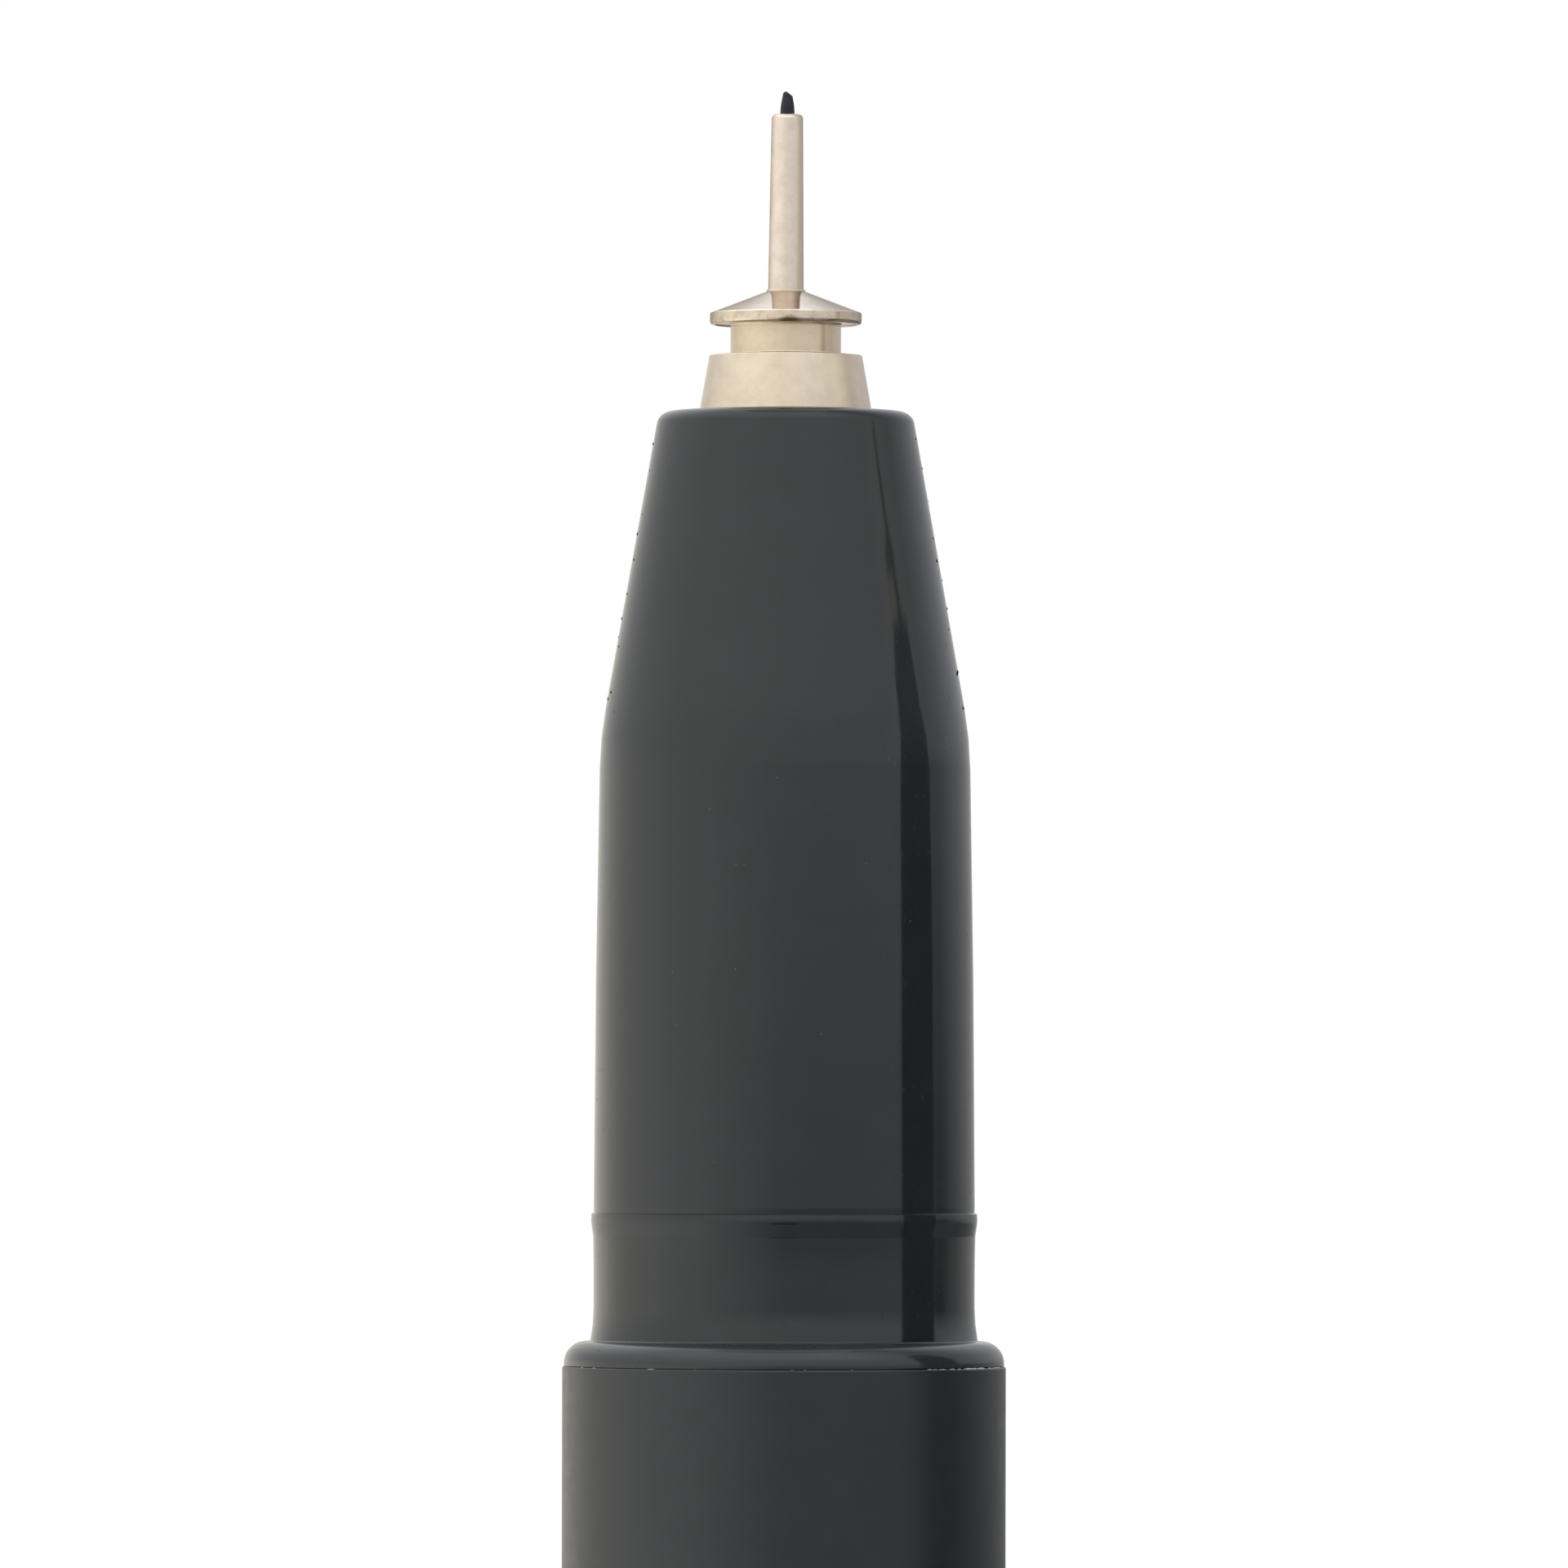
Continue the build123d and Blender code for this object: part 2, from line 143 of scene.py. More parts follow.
# Barrel
BARREL_WALL = 0.0011
BARREL_FRONT_ROUND = 0.00006
BARREL_REAR_ROUND = 0.00012
RIB_COUNT = 6
RIB_HEIGHT = 0.0006
RIB_WIDTH = 0.0008
RIB_FRONT_GAP = 0.0105  # from the barrel's front end to the ribs
RIB_REAR_GAP = 0.0085

# Tip collar
COLLAR_HEIGHT = 0.00131
COLLAR_TOP_STEP = 0.000235  # from the collar's base in to its top edge
COLLAR_EDGE_ROUND = 0.00004
NECK_LENGTH = 0.00072
NECK_RADIUS = 0.00131
NECK_ROUND = 0.00006
FLANGE_RADIUS = 0.0018
FLANGE_RIM_HEIGHT = 0.00028
FLANGE_RIM_ROUND = 0.00009
FLANGE_EDGE_ROUND = 0.00005
TUBE_LIP_HEIGHT = 0.00005  # of the lip where the tube leaves the cone
TUBE_LIP_WIDTH = 0.000022
TUBE_LIP_ROUND = TUBE_LIP_WIDTH * 0.9
TUBE_LIP_FOOT_ROUND = TUBE_LIP_WIDTH / 3
UNDERSIDE_DEPTH = 0.00003  # of the hollow under the flange
UNDERSIDE_RADIUS = 0.00166
SHANK_RADIUS = 0.00165
SHANK_CHAMFER = 0.0002
WICK_RADIUS = 0.0008

# Nib tube and nib
TUBE_MOUTH_RADIUS = 0.0003725
TUBE_MOUTH_ROUND = 0.00011
TUBE_REACH = 0.00416
NIB_ROUND = 0.00006
NIB_STEP = 0.000006  # of the nib's radius, lost where it leaves the tube
NIB_WAIST = 0.000017  # lost where the taper starts
NIB_WAIST_HEIGHT = 0.0002
NIB_WAIST_ROUND = 0.0009
NIB_TAPER = 0.00008  # lost at its point
NIB_FACET_START = -0.00003  # how far right of the axis it starts
NIB_FACET_SLOPE = 0.75
TUBE_LEAN = 0.007  # of the tube and the nib to the right, by height

# Rear plug and cap
STUB_CHAMFER = 0.0008
STUB_EDGE_ROUND = 0.0003
STUB_END_WALL = 0.0014
CAP_WALL = 0.000945
CAP_MOUTH_ROUND = 0.0002
CAP_END_ROUND = 0.0001
SNAP_OFFSET = 0.00288
SNAP_DEPTH = 0.00007
SNAP_WIDTH = 0.0007
CUP_BORE_LENGTH = 0.015
CUP_BORE_STEP = 0.00025
CUP_FLOOR = 0.0024
CUP_FLANGE_HEIGHT = 0.002
CUP_WALL = 0.0006
CUP_FIN_HEIGHT = 0.000535
CUP_FIN_WIDTH = 0.0007
CUP_FIN_COUNT = 4
CUP_FIN_GAP = 0.002
CUP_LIP_DEPTH = 0.0006
CUP_RIM_ROUND = 0.0001
FOOT_THICKNESS = 0.0014
FOOT_ROUND = 0.0004
STEM_RADIUS = 0.0025
STEM_CHAMFER = 0.0003
STEM_INSERT_DEPTH = 0.0015

# Clip
CLIP_THICKNESS = 0.0005
CLIP_ROOT_WIDTH = 0.004
CLIP_OVERLAP = 0.001  # of the arm's root with the ring
CLIP_TIP_WIDTH = 0.003
CLIP_STANDOFF = 0.0011
CLIP_TOUCH_GAP = 0.00005
CLIP_BEND_RADIUS = 0.0008
CLIP_TOUCH_RADIUS = 0.004
CLIP_TOUCH_LENGTH = 0.027
CLIP_LEAD_LENGTH = 0.0036
CLIP_LEAD_RISE = 0.0008
CLIP_EDGE_ROUND = 0.00012
CLIP_STEPS = 96
CLIP_BEND_STEPS = 16
CLIP_TIP_STEPS = 14
CLIP_CORNER_STEPS = 5  # points on each corner of its section
CLIP_ROUND_SHARE = 0.8  # most that its rounding takes of half the width
CLIP_TIP_LEAST = 0.002  # square of the least share of the width, at the tip

# Materials
BLACK = (0.0125, 0.0150, 0.0160)
WARM_METAL = (0.68, 0.58, 0.445)
EDGE_METAL = (0.5, 0.46, 0.42)  # tint of a metal where it is seen edge on
PALE_EDGE = (0.95, 0.93, 0.95)
TARNISH = (0.22, 0.155, 0.085)
TURNED = (900, 900, 42000)  # lines per metre along the three axes
BRUSHED = (9000, 9000, 90)
LINE_DEPTH = 3e-7
STRAND_RATIO = 30  # of a strand's length to its width
PATCH_FADE = 1.6  # of a dark patch's size, where it has faded out
NOISE_SPAN = (0.3, 0.7)  # holds most of a noise's values
FACING = 0.5  # least part of a normal that counts as facing a way
STRAIGHT = 0.9  # the same for facing it straight

# Camera: it stands a little below the middle of the picture and looks slightly up
CAMERA_DISTANCE = 0.358
CAMERA_RISE = 0.0055  # of the camera over the shoulder
AIM_RISE = 0.01319  # of the picture's middle over the shoulder
CAMERA_SIDE = -0.000024
CAMERA_ROLL = math.radians(0.1)
CAMERA_LENS = 347.1
CAMERA_SENSOR = 36.0
CAMERA_CLIP = 100  # times nearer and further than the pen

# Light
WHITE = (1.0, 1.0, 1.0, 1.0)
AMBIENT = 0.76  # world light on rough surfaces
KEY = (3.0, 0.7, (-0.55, -0.65, 0.75))  # power, size and place
FILL = (1.2, 0.7, (0.75, -0.35, 0.45))
FLOOR_RADII = (1.2, 0.12, 0.0)
FLOOR_SEGMENTS = 48
FLOOR_TONES = ((0.80, 0.80, 0.79), (0.84, 0.84, 0.83))

# Round tent that only reflections show
TENT_RADIUS = 0.3
TENT_TOP = 1.0
TENT_GROUND = 0.0005  # of its ground over the floor
TENT_HOLE = 0.02  # left open in the ground, round the pen
TENT_SEGMENTS = 180
TENT_GAIN = 1.9
# Tints, and its lights by direction in degrees from the camera's side, right positive: level and tint
WARM = (1.03, 0.99, 0.88)
PLAIN = (1.0, 1.0, 1.0)
COOL = (0.96, 0.99, 1.1)
TENT_LOW = [(-180, 0.7), (-160, 0.93, WARM), (-139, 1.08, WARM), (-120, 1.07, WARM), (-83, 1.28),
            (-54, 1.16), (-28, 0.87), (-4, 0.6, COOL), (19, 0.53, COOL), (44, 0.55, COOL), (72, 0.55),
            (90, 0.3), (109, 0.06), (120, 0.25), (137, 0.38), (165, 0.44), (180, 0.7)]
TENT_MIDDLE = [(-180, 0.82, WARM), (-135, 0.86), (-88, 1.15), (-44, 1.15), (0, 0.97), (40, 0.92, COOL),
               (71, 0.9), (80, 0.96), (104, 0.6), (128, 0.68, COOL), (165, 0.6), (180, 0.8)]
TENT_HIGH = [(-180, 1.75, COOL), (-112, 1.5), (-74, 1.6), (0, 1.5), (44, 1.5), (75, 1.0), (105, 0.5),
             (135, 0.85, COOL), (180, 1.75, COOL)]
TENT_FLOOR = [(-180, 0.75), (-120, 1.1, WARM), (-83, 1.4), (-54, 1.25), (-28, 0.8), (0, 0.3), (72, 0.28),
              (127, 0.15), (165, 0.28), (180, 0.7)]
# Rises over the shoulder between which the light by the floor turns into the low one, and so on
TENT_RISES = [(-0.022, -0.005), (0.0, 0.042), (0.09, 0.3)]

# Upright dark card on the right and a small one low in front, for reflections too
CARD_SIDE = 0.03
CARD_LAYER = 0.00005  # between the card's three sheets
CARD_DARK = (0.035, 0.037, 0.038)
CARD_PALE = (0.2, 0.18, 0.2)
CARD_FADE = (0.0115, 0.0215)  # rises between which the dark turns into the pale
CARD_DIM = (0.33, 0.32, 0.3)
CARD_BRIGHT = (0.9, 0.84, 0.78)
# Depth and rise over the shoulder of the corners of its sheets, in millimetres
CARD_STRIP = [(-10.4, -90), (3.4, -90), (3.2, 11.5), (2.7, 14.7), (1.4, 22.1), (0.4, 24.5), (-3.5, 25),
              (-6.1, 25.2), (-8.2, 24.2), (-8.8, 21), (-10, 14.2), (-10.4, 8)]
CARD_LINE = [(-6.5, 26.9), (-5.9, 26.5), (-3.3, 26.1), (-3.3, 24.8), (-1.4, 24.7), (-1.7, 25.9),
             (-1.4, 26.6), (-2.5, 27.2), (-3.2, 28.9), (-3.4, 30.3), (-4.5, 30.5), (-4.5, 28.2),
             (-4, 27.4), (-5.4, 27.2)]
CARD_BAND = [(-6.3, 24.8), (-1.2, 24.3), (-2, 26.1), (-6.4, 26.7), (-6.5, 25.9)]
LOW_CARD_PLACE = (0.0, -0.1, -0.0135)  # from the shoulder
LOW_CARD_HALVES = (0.015, 0.006)
LOW_CARD_SEGMENTS = 96

# Heights and radii of the frame
barrel_low, barrel_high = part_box("barrel")
barrel_radius = barrel_high.x
barrel_rear = barrel_low.z
barrel_front = barrel_high.z
parting = barrel_front - PARTING_DROP
section_low, section_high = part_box("front_section")
shoulder_radius = section_high.x
spigot_end = section_low.z
nose_face = section_high.z
nose_end = nose_face - NOSE_SINK
shoulder = barrel_front + SHOULDER_LAND + SHOULDER_ROUND
seat_radius = shoulder_radius - SEAT_STEP
grip_radius = seat_radius - GRIP_DRAFT
nose_radius = grip_radius - NOSE_DROP
nose_start = shoulder + GRIP_LENGTH
nose_slope = NOSE_DROP / (nose_face - nose_start)
barrel_bore = barrel_radius - BARREL_WALL
spigot_radius = barrel_bore - PRESS_CLEARANCE
wrap_radius = barrel_bore - RIB_HEIGHT - PRESS_CLEARANCE
ledge_bore = wrap_radius - LEDGE_WIDTH
collar_low, collar_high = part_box("tip_collar")
collar_radius = collar_high.x
shank_end = collar_low.z
flange_cone = collar_high.z
collar_top = nose_face + COLLAR_HEIGHT
flange_under = collar_top + NECK_LENGTH
flange_rim = flange_under + FLANGE_RIM_HEIGHT
tube_low, tube_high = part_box("nib_tube")
nib_low, nib_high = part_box("nib")
plug_low, plug_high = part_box("rear_plug")
shell_low, shell_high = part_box("cap_shell")
cap_radius = shell_high.y
cap_bore = cap_radius - CAP_WALL
stem_bore = STEM_RADIUS + PRESS_CLEARANCE
snap = shell_high.z - SNAP_OFFSET
cup_low, cup_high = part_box("inner_cap")
foot_low, foot_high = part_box("cap_plug")

# Dark patches at set places: place, stretch along the three axes, size, and share of the tarnish colour
RIM_DARK_PATCH = ((0.0001, -0.0018, flange_under), (1.0, 1.0, 2.0), 0.00031, 0.95)
TUBE_DARK_STRIPE = ((0.00039, -0.00017, 0.0), (1.0, 1.0, 0.0), 0.00032, 0.15)


def turn_between(first, second):
    """Angle from one direction to another, anticlockwise positive."""
    return math.atan2(first.x * second.y - first.y * second.x, first.dot(second))


def outline(corners):
    """Points of a closed outline run anticlockwise: radius, height and the outward normal's two parts.

    A corner is a radius, a height and, unless it has the least one, a rounding, which becomes an arc."""
    found = []
    count = len(corners)
    for index, (radius, height, *given) in enumerate(corners):
        rounding = given[0] if given else EDGE_ROUND
        before = corners[index - 1]
        after = corners[(index + 1) % count]
        way_in = Vector((radius - before[0], height - before[1])).normalized()
        way_out = Vector((after[0] - radius, after[1] - height)).normalized()
        if radius < POLE_RADIUS:
            found.append((0.0, height, 0.0, 1.0 if before[0] > radius else -1.0))
            continue
        turn = turn_between(way_in, way_out)
        normal = Vector((way_in.y, -way_in.x))
        if rounding == 0 or abs(turn) < LEAST_TURN:
            middle = Matrix.Rotation(turn / 2, 2) @ normal
            found.append((radius, height, middle.x, middle.y))
            continue
        side = math.copysign(rounding, turn)
        start = Vector((radius, height)) - way_in * rounding * math.tan(abs(turn) / 2)
        centre = start - normal * side
        steps = max(ARC_LEAST_STEPS, math.ceil(abs(turn) / ARC_STEP))
        for step in range(steps + 1):
            spun = Matrix.Rotation(turn * step / steps, 2) @ normal
            place = centre + spun * side
            found.append((place.x, place.y, spun.x, spun.y))
    return found


def divided(points, spacing, low, high):
    """The same outline with more points on its straight runs between two heights."""
    found = []
    for point, after in zip(points, points[1:] + points[:1]):
        found.append(point)
        length = math.hypot(after[0] - point[0], after[1] - point[1])
        if length <= spacing or min(point[1], after[1]) < low or max(point[1], after[1]) > high:
            continue
        parts = math.ceil(length / spacing)
        for part in range(1, parts):
            share = part / parts
            found.append(tuple(a + (b - a) * share for a, b in zip(point, after)))
    return found


def mesh_piece(name, places, faces, normals=None):
    """Object from points and faces, smooth, with exact normals where they are given."""
    mesh = bpy.data.meshes.new(name)
    mesh.from_pydata(places, [], faces, shade_flat=False)
    mesh.validate()
    if normals is not None:
        mesh.normals_split_custom_set_from_vertices(normals)
    piece = bpy.data.objects.new(name, mesh)
    scene.collection.objects.link(piece)
    return piece


def bands(rings):
    """Faces from each ring of points to the next; a ring may be a single point."""
    faces = []
    for ring, after in zip(rings, rings[1:]):
        if len(ring) == 1 and len(after) == 1:
            continue
        count = max(len(ring), len(after))
        for step in range(count):
            following = (step + 1) % count
            if len(ring) == 1:
                faces.append((ring[0], after[following], after[step]))
            elif len(after) == 1:
                faces.append((ring[step], ring[following], after[0]))
            else:
                faces.append((ring[step], ring[following], after[following], after[step]))
    return faces


def lathe(name, points, segments=FINE_SEGMENTS, bend=None, closed=True):
    """Piece turned about the axis from a closed or open outline; bend may move a point by its angle."""
    places = []
    normals = []
    rings = []
    for radius, height, across, along in points:
        first = len(places)
        if radius < POLE_RADIUS:
            places.append((0.0, 0.0, height))
            normals.append((0.0, 0.0, along))
            rings.append([first])
            continue
        for step in range(segments):
            angle = math.tau * step / segments
            r, z = (radius, height) if bend is None else bend(angle, radius, height)
            places.append((r * math.cos(angle), r * math.sin(angle), z))
            normals.append((across * math.cos(angle), across * math.sin(angle), along))
        rings.append(list(range(first, first + segments)))
    if closed:
        rings.append(rings[0])
    return mesh_piece(name, places, bands(rings), normals)


def near_angle(angle, count, width):
    """Whether an angle lies within half a width of one of evenly spaced places."""
    pitch = math.tau / count
    return abs((angle + pitch / 2) % pitch - pitch / 2) <= width / 2


def hump(angle, spread):
    """Share that falls from 1 at angle 0 to nothing at the spread."""
    angle = (angle + math.pi) % math.tau - math.pi
    return max(0.0, 1 - (angle / spread) ** 2)


def front_section():
    """Gloss moulding: nose taper, grip, bead, seat, shoulder and the hidden spigot."""
    seat = seat_radius + SEAT_SWELL
    grip_middle = seat_radius - GRIP_DRAFT * GRIP_MIDDLE / GRIP_LENGTH + GRIP_MIDDLE_SWELL
    points = outline([
        (spigot_radius - SPIGOT_CHAMFER, spigot_end),
        (spigot_radius, spigot_end + SPIGOT_CHAMFER),
        (spigot_radius, parting),
        (shoulder_radius, parting),
        (shoulder_radius, shoulder, SHOULDER_ROUND),
        (seat + FLARE_STEP, shoulder, FLARE_FOOT_ROUND),
        (seat, shoulder + FLARE_HEIGHT, FLARE_ROUND),
        (seat, shoulder + SINK_LOW, SINK_ROUND),
        (seat + BEAD_FOOT_RISE, shoulder + BEAD_LOW, BEAD_FOOT_ROUND),
        (seat + BEAD_HEIGHT, shoulder + BEAD_CREST_LOW, BEAD_CREST_ROUND),
        (seat + BEAD_HEIGHT - BEAD_CREST_FALL, shoulder + BEAD_CREST_TOP, BEAD_EDGE_ROUND),
        (seat - BEAD_GROOVE, shoulder + BEAD_TOP, BEAD_EDGE_ROUND),
        (seat, shoulder + BEAD_GROOVE_TOP, BEAD_ROUND),
        (grip_middle, shoulder + GRIP_MIDDLE, GRIP_BLEND_RADIUS),
        (grip_radius + GRIP_END_SWELL, nose_start, NOSE_BLEND_RADIUS),
        (nose_radius + NOSE_SWELL, nose_end, NOSE_EDGE_ROUND),
        (SHANK_RADIUS, nose_end),
        (SHANK_RADIUS, shank_end),
        (ledge_bore, nose_start),
        (ledge_bore, shoulder + LEDGE_DEPTH),
        (wrap_radius + PRESS_CLEARANCE, shoulder + LEDGE_DEPTH),
        (wrap_radius + PRESS_CLEARANCE, spigot_end),
    ])

    def worked(angle, radius, height):
        """A slight gap over the barrel, and a tag of flash on the right."""
        if radius < spigot_radius + EDGE_ROUND or height > parting + EDGE_ROUND:
            return radius, height
        lift = GAP_DEPTH * hump(angle - GAP_MIDDLE, GAP_SPREAD)
        reach = TAG_REACH * hump(angle, TAG_SPREAD)
        return radius + reach * (radius > barrel_radius - EDGE_ROUND), height + lift

    return lathe("pen_section", points, bend=worked)


def barrel():
    """Satin tube with a fine edge at the parting line and ribs inside."""
    rib_top = barrel_front - RIB_FRONT_GAP
    rib_bottom = barrel_rear + RIB_REAR_GAP
    points = outline([
        (barrel_bore, barrel_rear),
        (barrel_radius, barrel_rear, BARREL_REAR_ROUND),
        (barrel_radius, parting, BARREL_FRONT_ROUND),
        (barrel_bore, parting),
        (barrel_bore, rib_top + EDGE_ROUND, 0),
        (barrel_bore, rib_top, 0),
        (barrel_bore, rib_bottom, 0),
        (barrel_bore, rib_bottom - EDGE_ROUND, 0),
    ])
    width = RIB_WIDTH / barrel_bore

    def ribbed(angle, radius, height):
        """Ribs along the middle of the bore."""
        inside = radius < barrel_bore + EDGE_ROUND / 2
        if inside and rib_bottom <= height <= rib_top and near_angle(angle, RIB_COUNT, width):
            return radius - RIB_HEIGHT, height
        return radius, height

    return lathe("pen_barrel", points, bend=ribbed)


def tip_collar():
    """Turned tip: polished cone on a flange, neck, collar and the hidden shank."""
    tube_radius = tube_high.x + PRESS_CLEARANCE
    fit_radius = SHANK_RADIUS - PRESS_CLEARANCE
    return lathe("pen_tip", outline([
        (WICK_RADIUS + PRESS_CLEARANCE, shank_end),
        (fit_radius - SHANK_CHAMFER, shank_end),
        (fit_radius, shank_end + SHANK_CHAMFER),
        (fit_radius, nose_end),
        (collar_radius, nose_end, COLLAR_EDGE_ROUND),
        (collar_radius - COLLAR_TOP_STEP, collar_top, COLLAR_EDGE_ROUND),
        (NECK_RADIUS, collar_top, NECK_ROUND),
        (NECK_RADIUS, flange_under + UNDERSIDE_DEPTH, NECK_ROUND),
        (UNDERSIDE_RADIUS, flange_under + UNDERSIDE_DEPTH),
        (UNDERSIDE_RADIUS + UNDERSIDE_DEPTH, flange_under),
        (FLANGE_RADIUS, flange_under, FLANGE_RIM_ROUND),
        (FLANGE_RADIUS, flange_rim, FLANGE_EDGE_ROUND),
        (tube_radius + TUBE_LIP_WIDTH, flange_cone - TUBE_LIP_HEIGHT, TUBE_LIP_FOOT_ROUND),
        (tube_radius + TUBE_LIP_WIDTH, flange_cone, TUBE_LIP_ROUND),
        (tube_radius, flange_cone, 0),
        (tube_radius, tube_low.z),
        (WICK_RADIUS + PRESS_CLEARANCE, tube_low.z),
    ]))


def leaning(piece):
    """The same piece, bent a hair to the right above the cone."""
    for vertex in piece.data.vertices:
        vertex.co.x += TUBE_LEAN * max(0.0, vertex.co.z - flange_cone)
    return piece


def nib_tube():
    """Thin tube, slightly tapered, with a rounded mouth."""
    bore = nib_high.x + PRESS_CLEARANCE
    return leaning(lathe("pen_tube", outline([
        (bore, tube_low.z),
        (tube_high.x, tube_low.z),
        (tube_high.x, tube_high.z - TUBE_REACH, 0),
        (TUBE_MOUTH_RADIUS, tube_high.z, TUBE_MOUTH_ROUND),
        (bore, tube_high.z),
    ]), TUBE_SEGMENTS))


def nib():
    """Fibre rod with a rounded point that is worn to a slant on one side."""
    points = outline([
        (0, nib_low.z),
        (nib_high.x, nib_low.z),
        (nib_high.x, tube_high.z - nib_high.x),
        (nib_high.x - NIB_STEP, tube_high.z),
        (nib_high.x - NIB_WAIST, tube_high.z + NIB_WAIST_HEIGHT, NIB_WAIST_ROUND),
        (nib_high.x - NIB_TAPER, nib_high.z, NIB_ROUND),
        (0, nib_high.z),
    ])
    points = divided(points, nib_high.x / NIB_PARTS, tube_high.z - nib_high.x, nib_high.z)

    def worn(angle, radius, height):
        """The slant keeps every point under a plane that falls to the right."""
        side = radius * math.cos(angle)
        limit = nib_high.z - max(0.0, side - NIB_FACET_START) * NIB_FACET_SLOPE
        return radius, min(height, limit)

    return leaning(lathe("pen_nib", points, NIB_SEGMENTS, worn))


def rear_plug():
    """Gloss plug: the stub that the cap is posted on, its bead, and the hidden spigot."""
    return lathe("pen_plug", outline([
        (0, plug_low.z),
        (seat_radius - STUB_CHAMFER, plug_low.z, STUB_EDGE_ROUND),
        (seat_radius, plug_low.z + STUB_CHAMFER, STUB_EDGE_ROUND),
        (seat_radius, snap - BEAD_HALF_WIDTH, BEAD_ROUND),
        (seat_radius + BEAD_HEIGHT, snap, BEAD_ROUND),
        (seat_radius, snap + BEAD_HALF_WIDTH, BEAD_ROUND),
        (seat_radius, barrel_rear),
        (spigot_radius, barrel_rear),
        (spigot_radius, plug_high.z - SPIGOT_CHAMFER),
        (spigot_radius - SPIGOT_CHAMFER, plug_high.z),
        (ledge_bore, plug_high.z),
        (ledge_bore, plug_low.z + STUB_END_WALL),
        (0, plug_low.z + STUB_END_WALL),
    ]))


def cap_shell():
    """Satin cap tube, open at its mouth, with a snap groove and a narrower bore for the cup."""
    cup_bore = cap_bore - CUP_BORE_STEP
    cup_bore_top = cup_low.z + CUP_BORE_LENGTH
    return lathe("cap_tube", outline([
        (stem_bore, shell_low.z),
        (cap_radius, shell_low.z, CAP_END_ROUND),
        (cap_radius, shell_high.z, CAP_MOUTH_ROUND),
        (cap_bore, shell_high.z, CAP_MOUTH_ROUND),
        (cap_bore, snap + SNAP_WIDTH / 2, SNAP_WIDTH / 2),
        (cap_bore + SNAP_DEPTH, snap, SNAP_WIDTH / 2),
        (cap_bore, snap - SNAP_WIDTH / 2, SNAP_WIDTH / 2),
        (cap_bore, cup_bore_top + CUP_BORE_STEP),
        (cup_bore, cup_bore_top),
        (cup_bore, cup_low.z),
        (stem_bore, cup_low.z),
    ]))


def inner_cap():
    """Soft cup inside the cap: flanged base, fins on its wall and a flared lip."""
    fit_radius = cup_high.x
    outside = fit_radius - CUP_FIN_HEIGHT
    inside = outside - CUP_WALL
    flange_top = cup_low.z + CUP_FLANGE_HEIGHT
    fin_top = cup_high.z - CUP_FIN_GAP
    stem_end = cup_low.z + STEM_INSERT_DEPTH
    points = outline([
        (0, stem_end),
        (stem_bore, stem_end),
        (stem_bore, cup_low.z),
        (fit_radius, cup_low.z),
        (fit_radius, flange_top),
        (outside, flange_top),
        (outside, fin_top, 0),
        (outside, fin_top + EDGE_ROUND, 0),
        (outside, cup_high.z, CUP_RIM_ROUND),
        (inside + nose_slope * CUP_LIP_DEPTH, cup_high.z, CUP_RIM_ROUND),
        (inside, cup_high.z - CUP_LIP_DEPTH),
        (inside, cup_low.z + CUP_FLOOR),
        (0, cup_low.z + CUP_FLOOR),
    ])

    def finned(angle, radius, height):
        """Fins on the outside of the wall, up to a little under the rim."""
        on_wall = radius > inside + CUP_WALL / 2 and flange_top <= height <= fin_top
        if on_wall and near_angle(angle, CUP_FIN_COUNT, CUP_FIN_WIDTH / outside):
            return fit_radius, height
        return radius, height

    return lathe("cap_cup", points, bend=finned)


def cap_plug():
    """Gloss end plug: the foot that the pen stands on and the hidden stem."""
    return lathe("cap_foot", outline([
        (0, foot_low.z),
        (cap_radius, foot_low.z, FOOT_ROUND),
        (cap_radius, FOOT_THICKNESS, CAP_END_ROUND),
        (STEM_RADIUS, FOOT_THICKNESS),
        (STEM_RADIUS, foot_high.z - STEM_CHAMFER),
        (STEM_RADIUS - STEM_CHAMFER, foot_high.z),
        (0, foot_high.z),
    ]))


def clip_ring():
    """Flat ring of the clip, held between the foot and the shell."""
    return lathe("cap_clip_ring", outline([
        (stem_bore, FOOT_THICKNESS),
        (cap_radius, FOOT_THICKNESS, CLIP_EDGE_ROUND),
        (cap_radius, shell_low.z, CLIP_EDGE_ROUND),
        (stem_bore, shell_low.z),
    ]))


def clip_route():
    """Middle line of the clip's arm, as radius and height, with its two bends as arcs."""
    ring_middle = FOOT_THICKNESS + CLIP_THICKNESS / 2
    root_place = cap_radius + CLIP_STANDOFF + CLIP_THICKNESS / 2
    touch_place = cap_radius + CLIP_TOUCH_GAP + CLIP_THICKNESS / 2
    touch_height = ring_middle + CLIP_TOUCH_LENGTH
    corners = [
        Vector((cap_radius - CLIP_OVERLAP, ring_middle)),
        Vector((root_place, ring_middle)),
        Vector((touch_place, touch_height)),
        Vector((touch_place + CLIP_LEAD_RISE, touch_height + CLIP_LEAD_LENGTH)),
    ]
    route = corners[:1]
    for index, rounding in enumerate((CLIP_BEND_RADIUS, CLIP_TOUCH_RADIUS)):
        before, place, after = corners[index:index + 3]
        way_in = (place - before).normalized()
        way_out = (after - place).normalized()
        turn = turn_between(way_in, way_out)
        left = Vector((-way_in.y, way_in.x)) * math.copysign(rounding, turn)
        start = place - way_in * rounding * math.tan(abs(turn) / 2)
        for step in range(CLIP_BEND_STEPS + 1):
            spin = Matrix.Rotation(turn * step / CLIP_BEND_STEPS, 2)
            route.append(start + left - spin @ left)
    route.append(corners[-1])
    return route


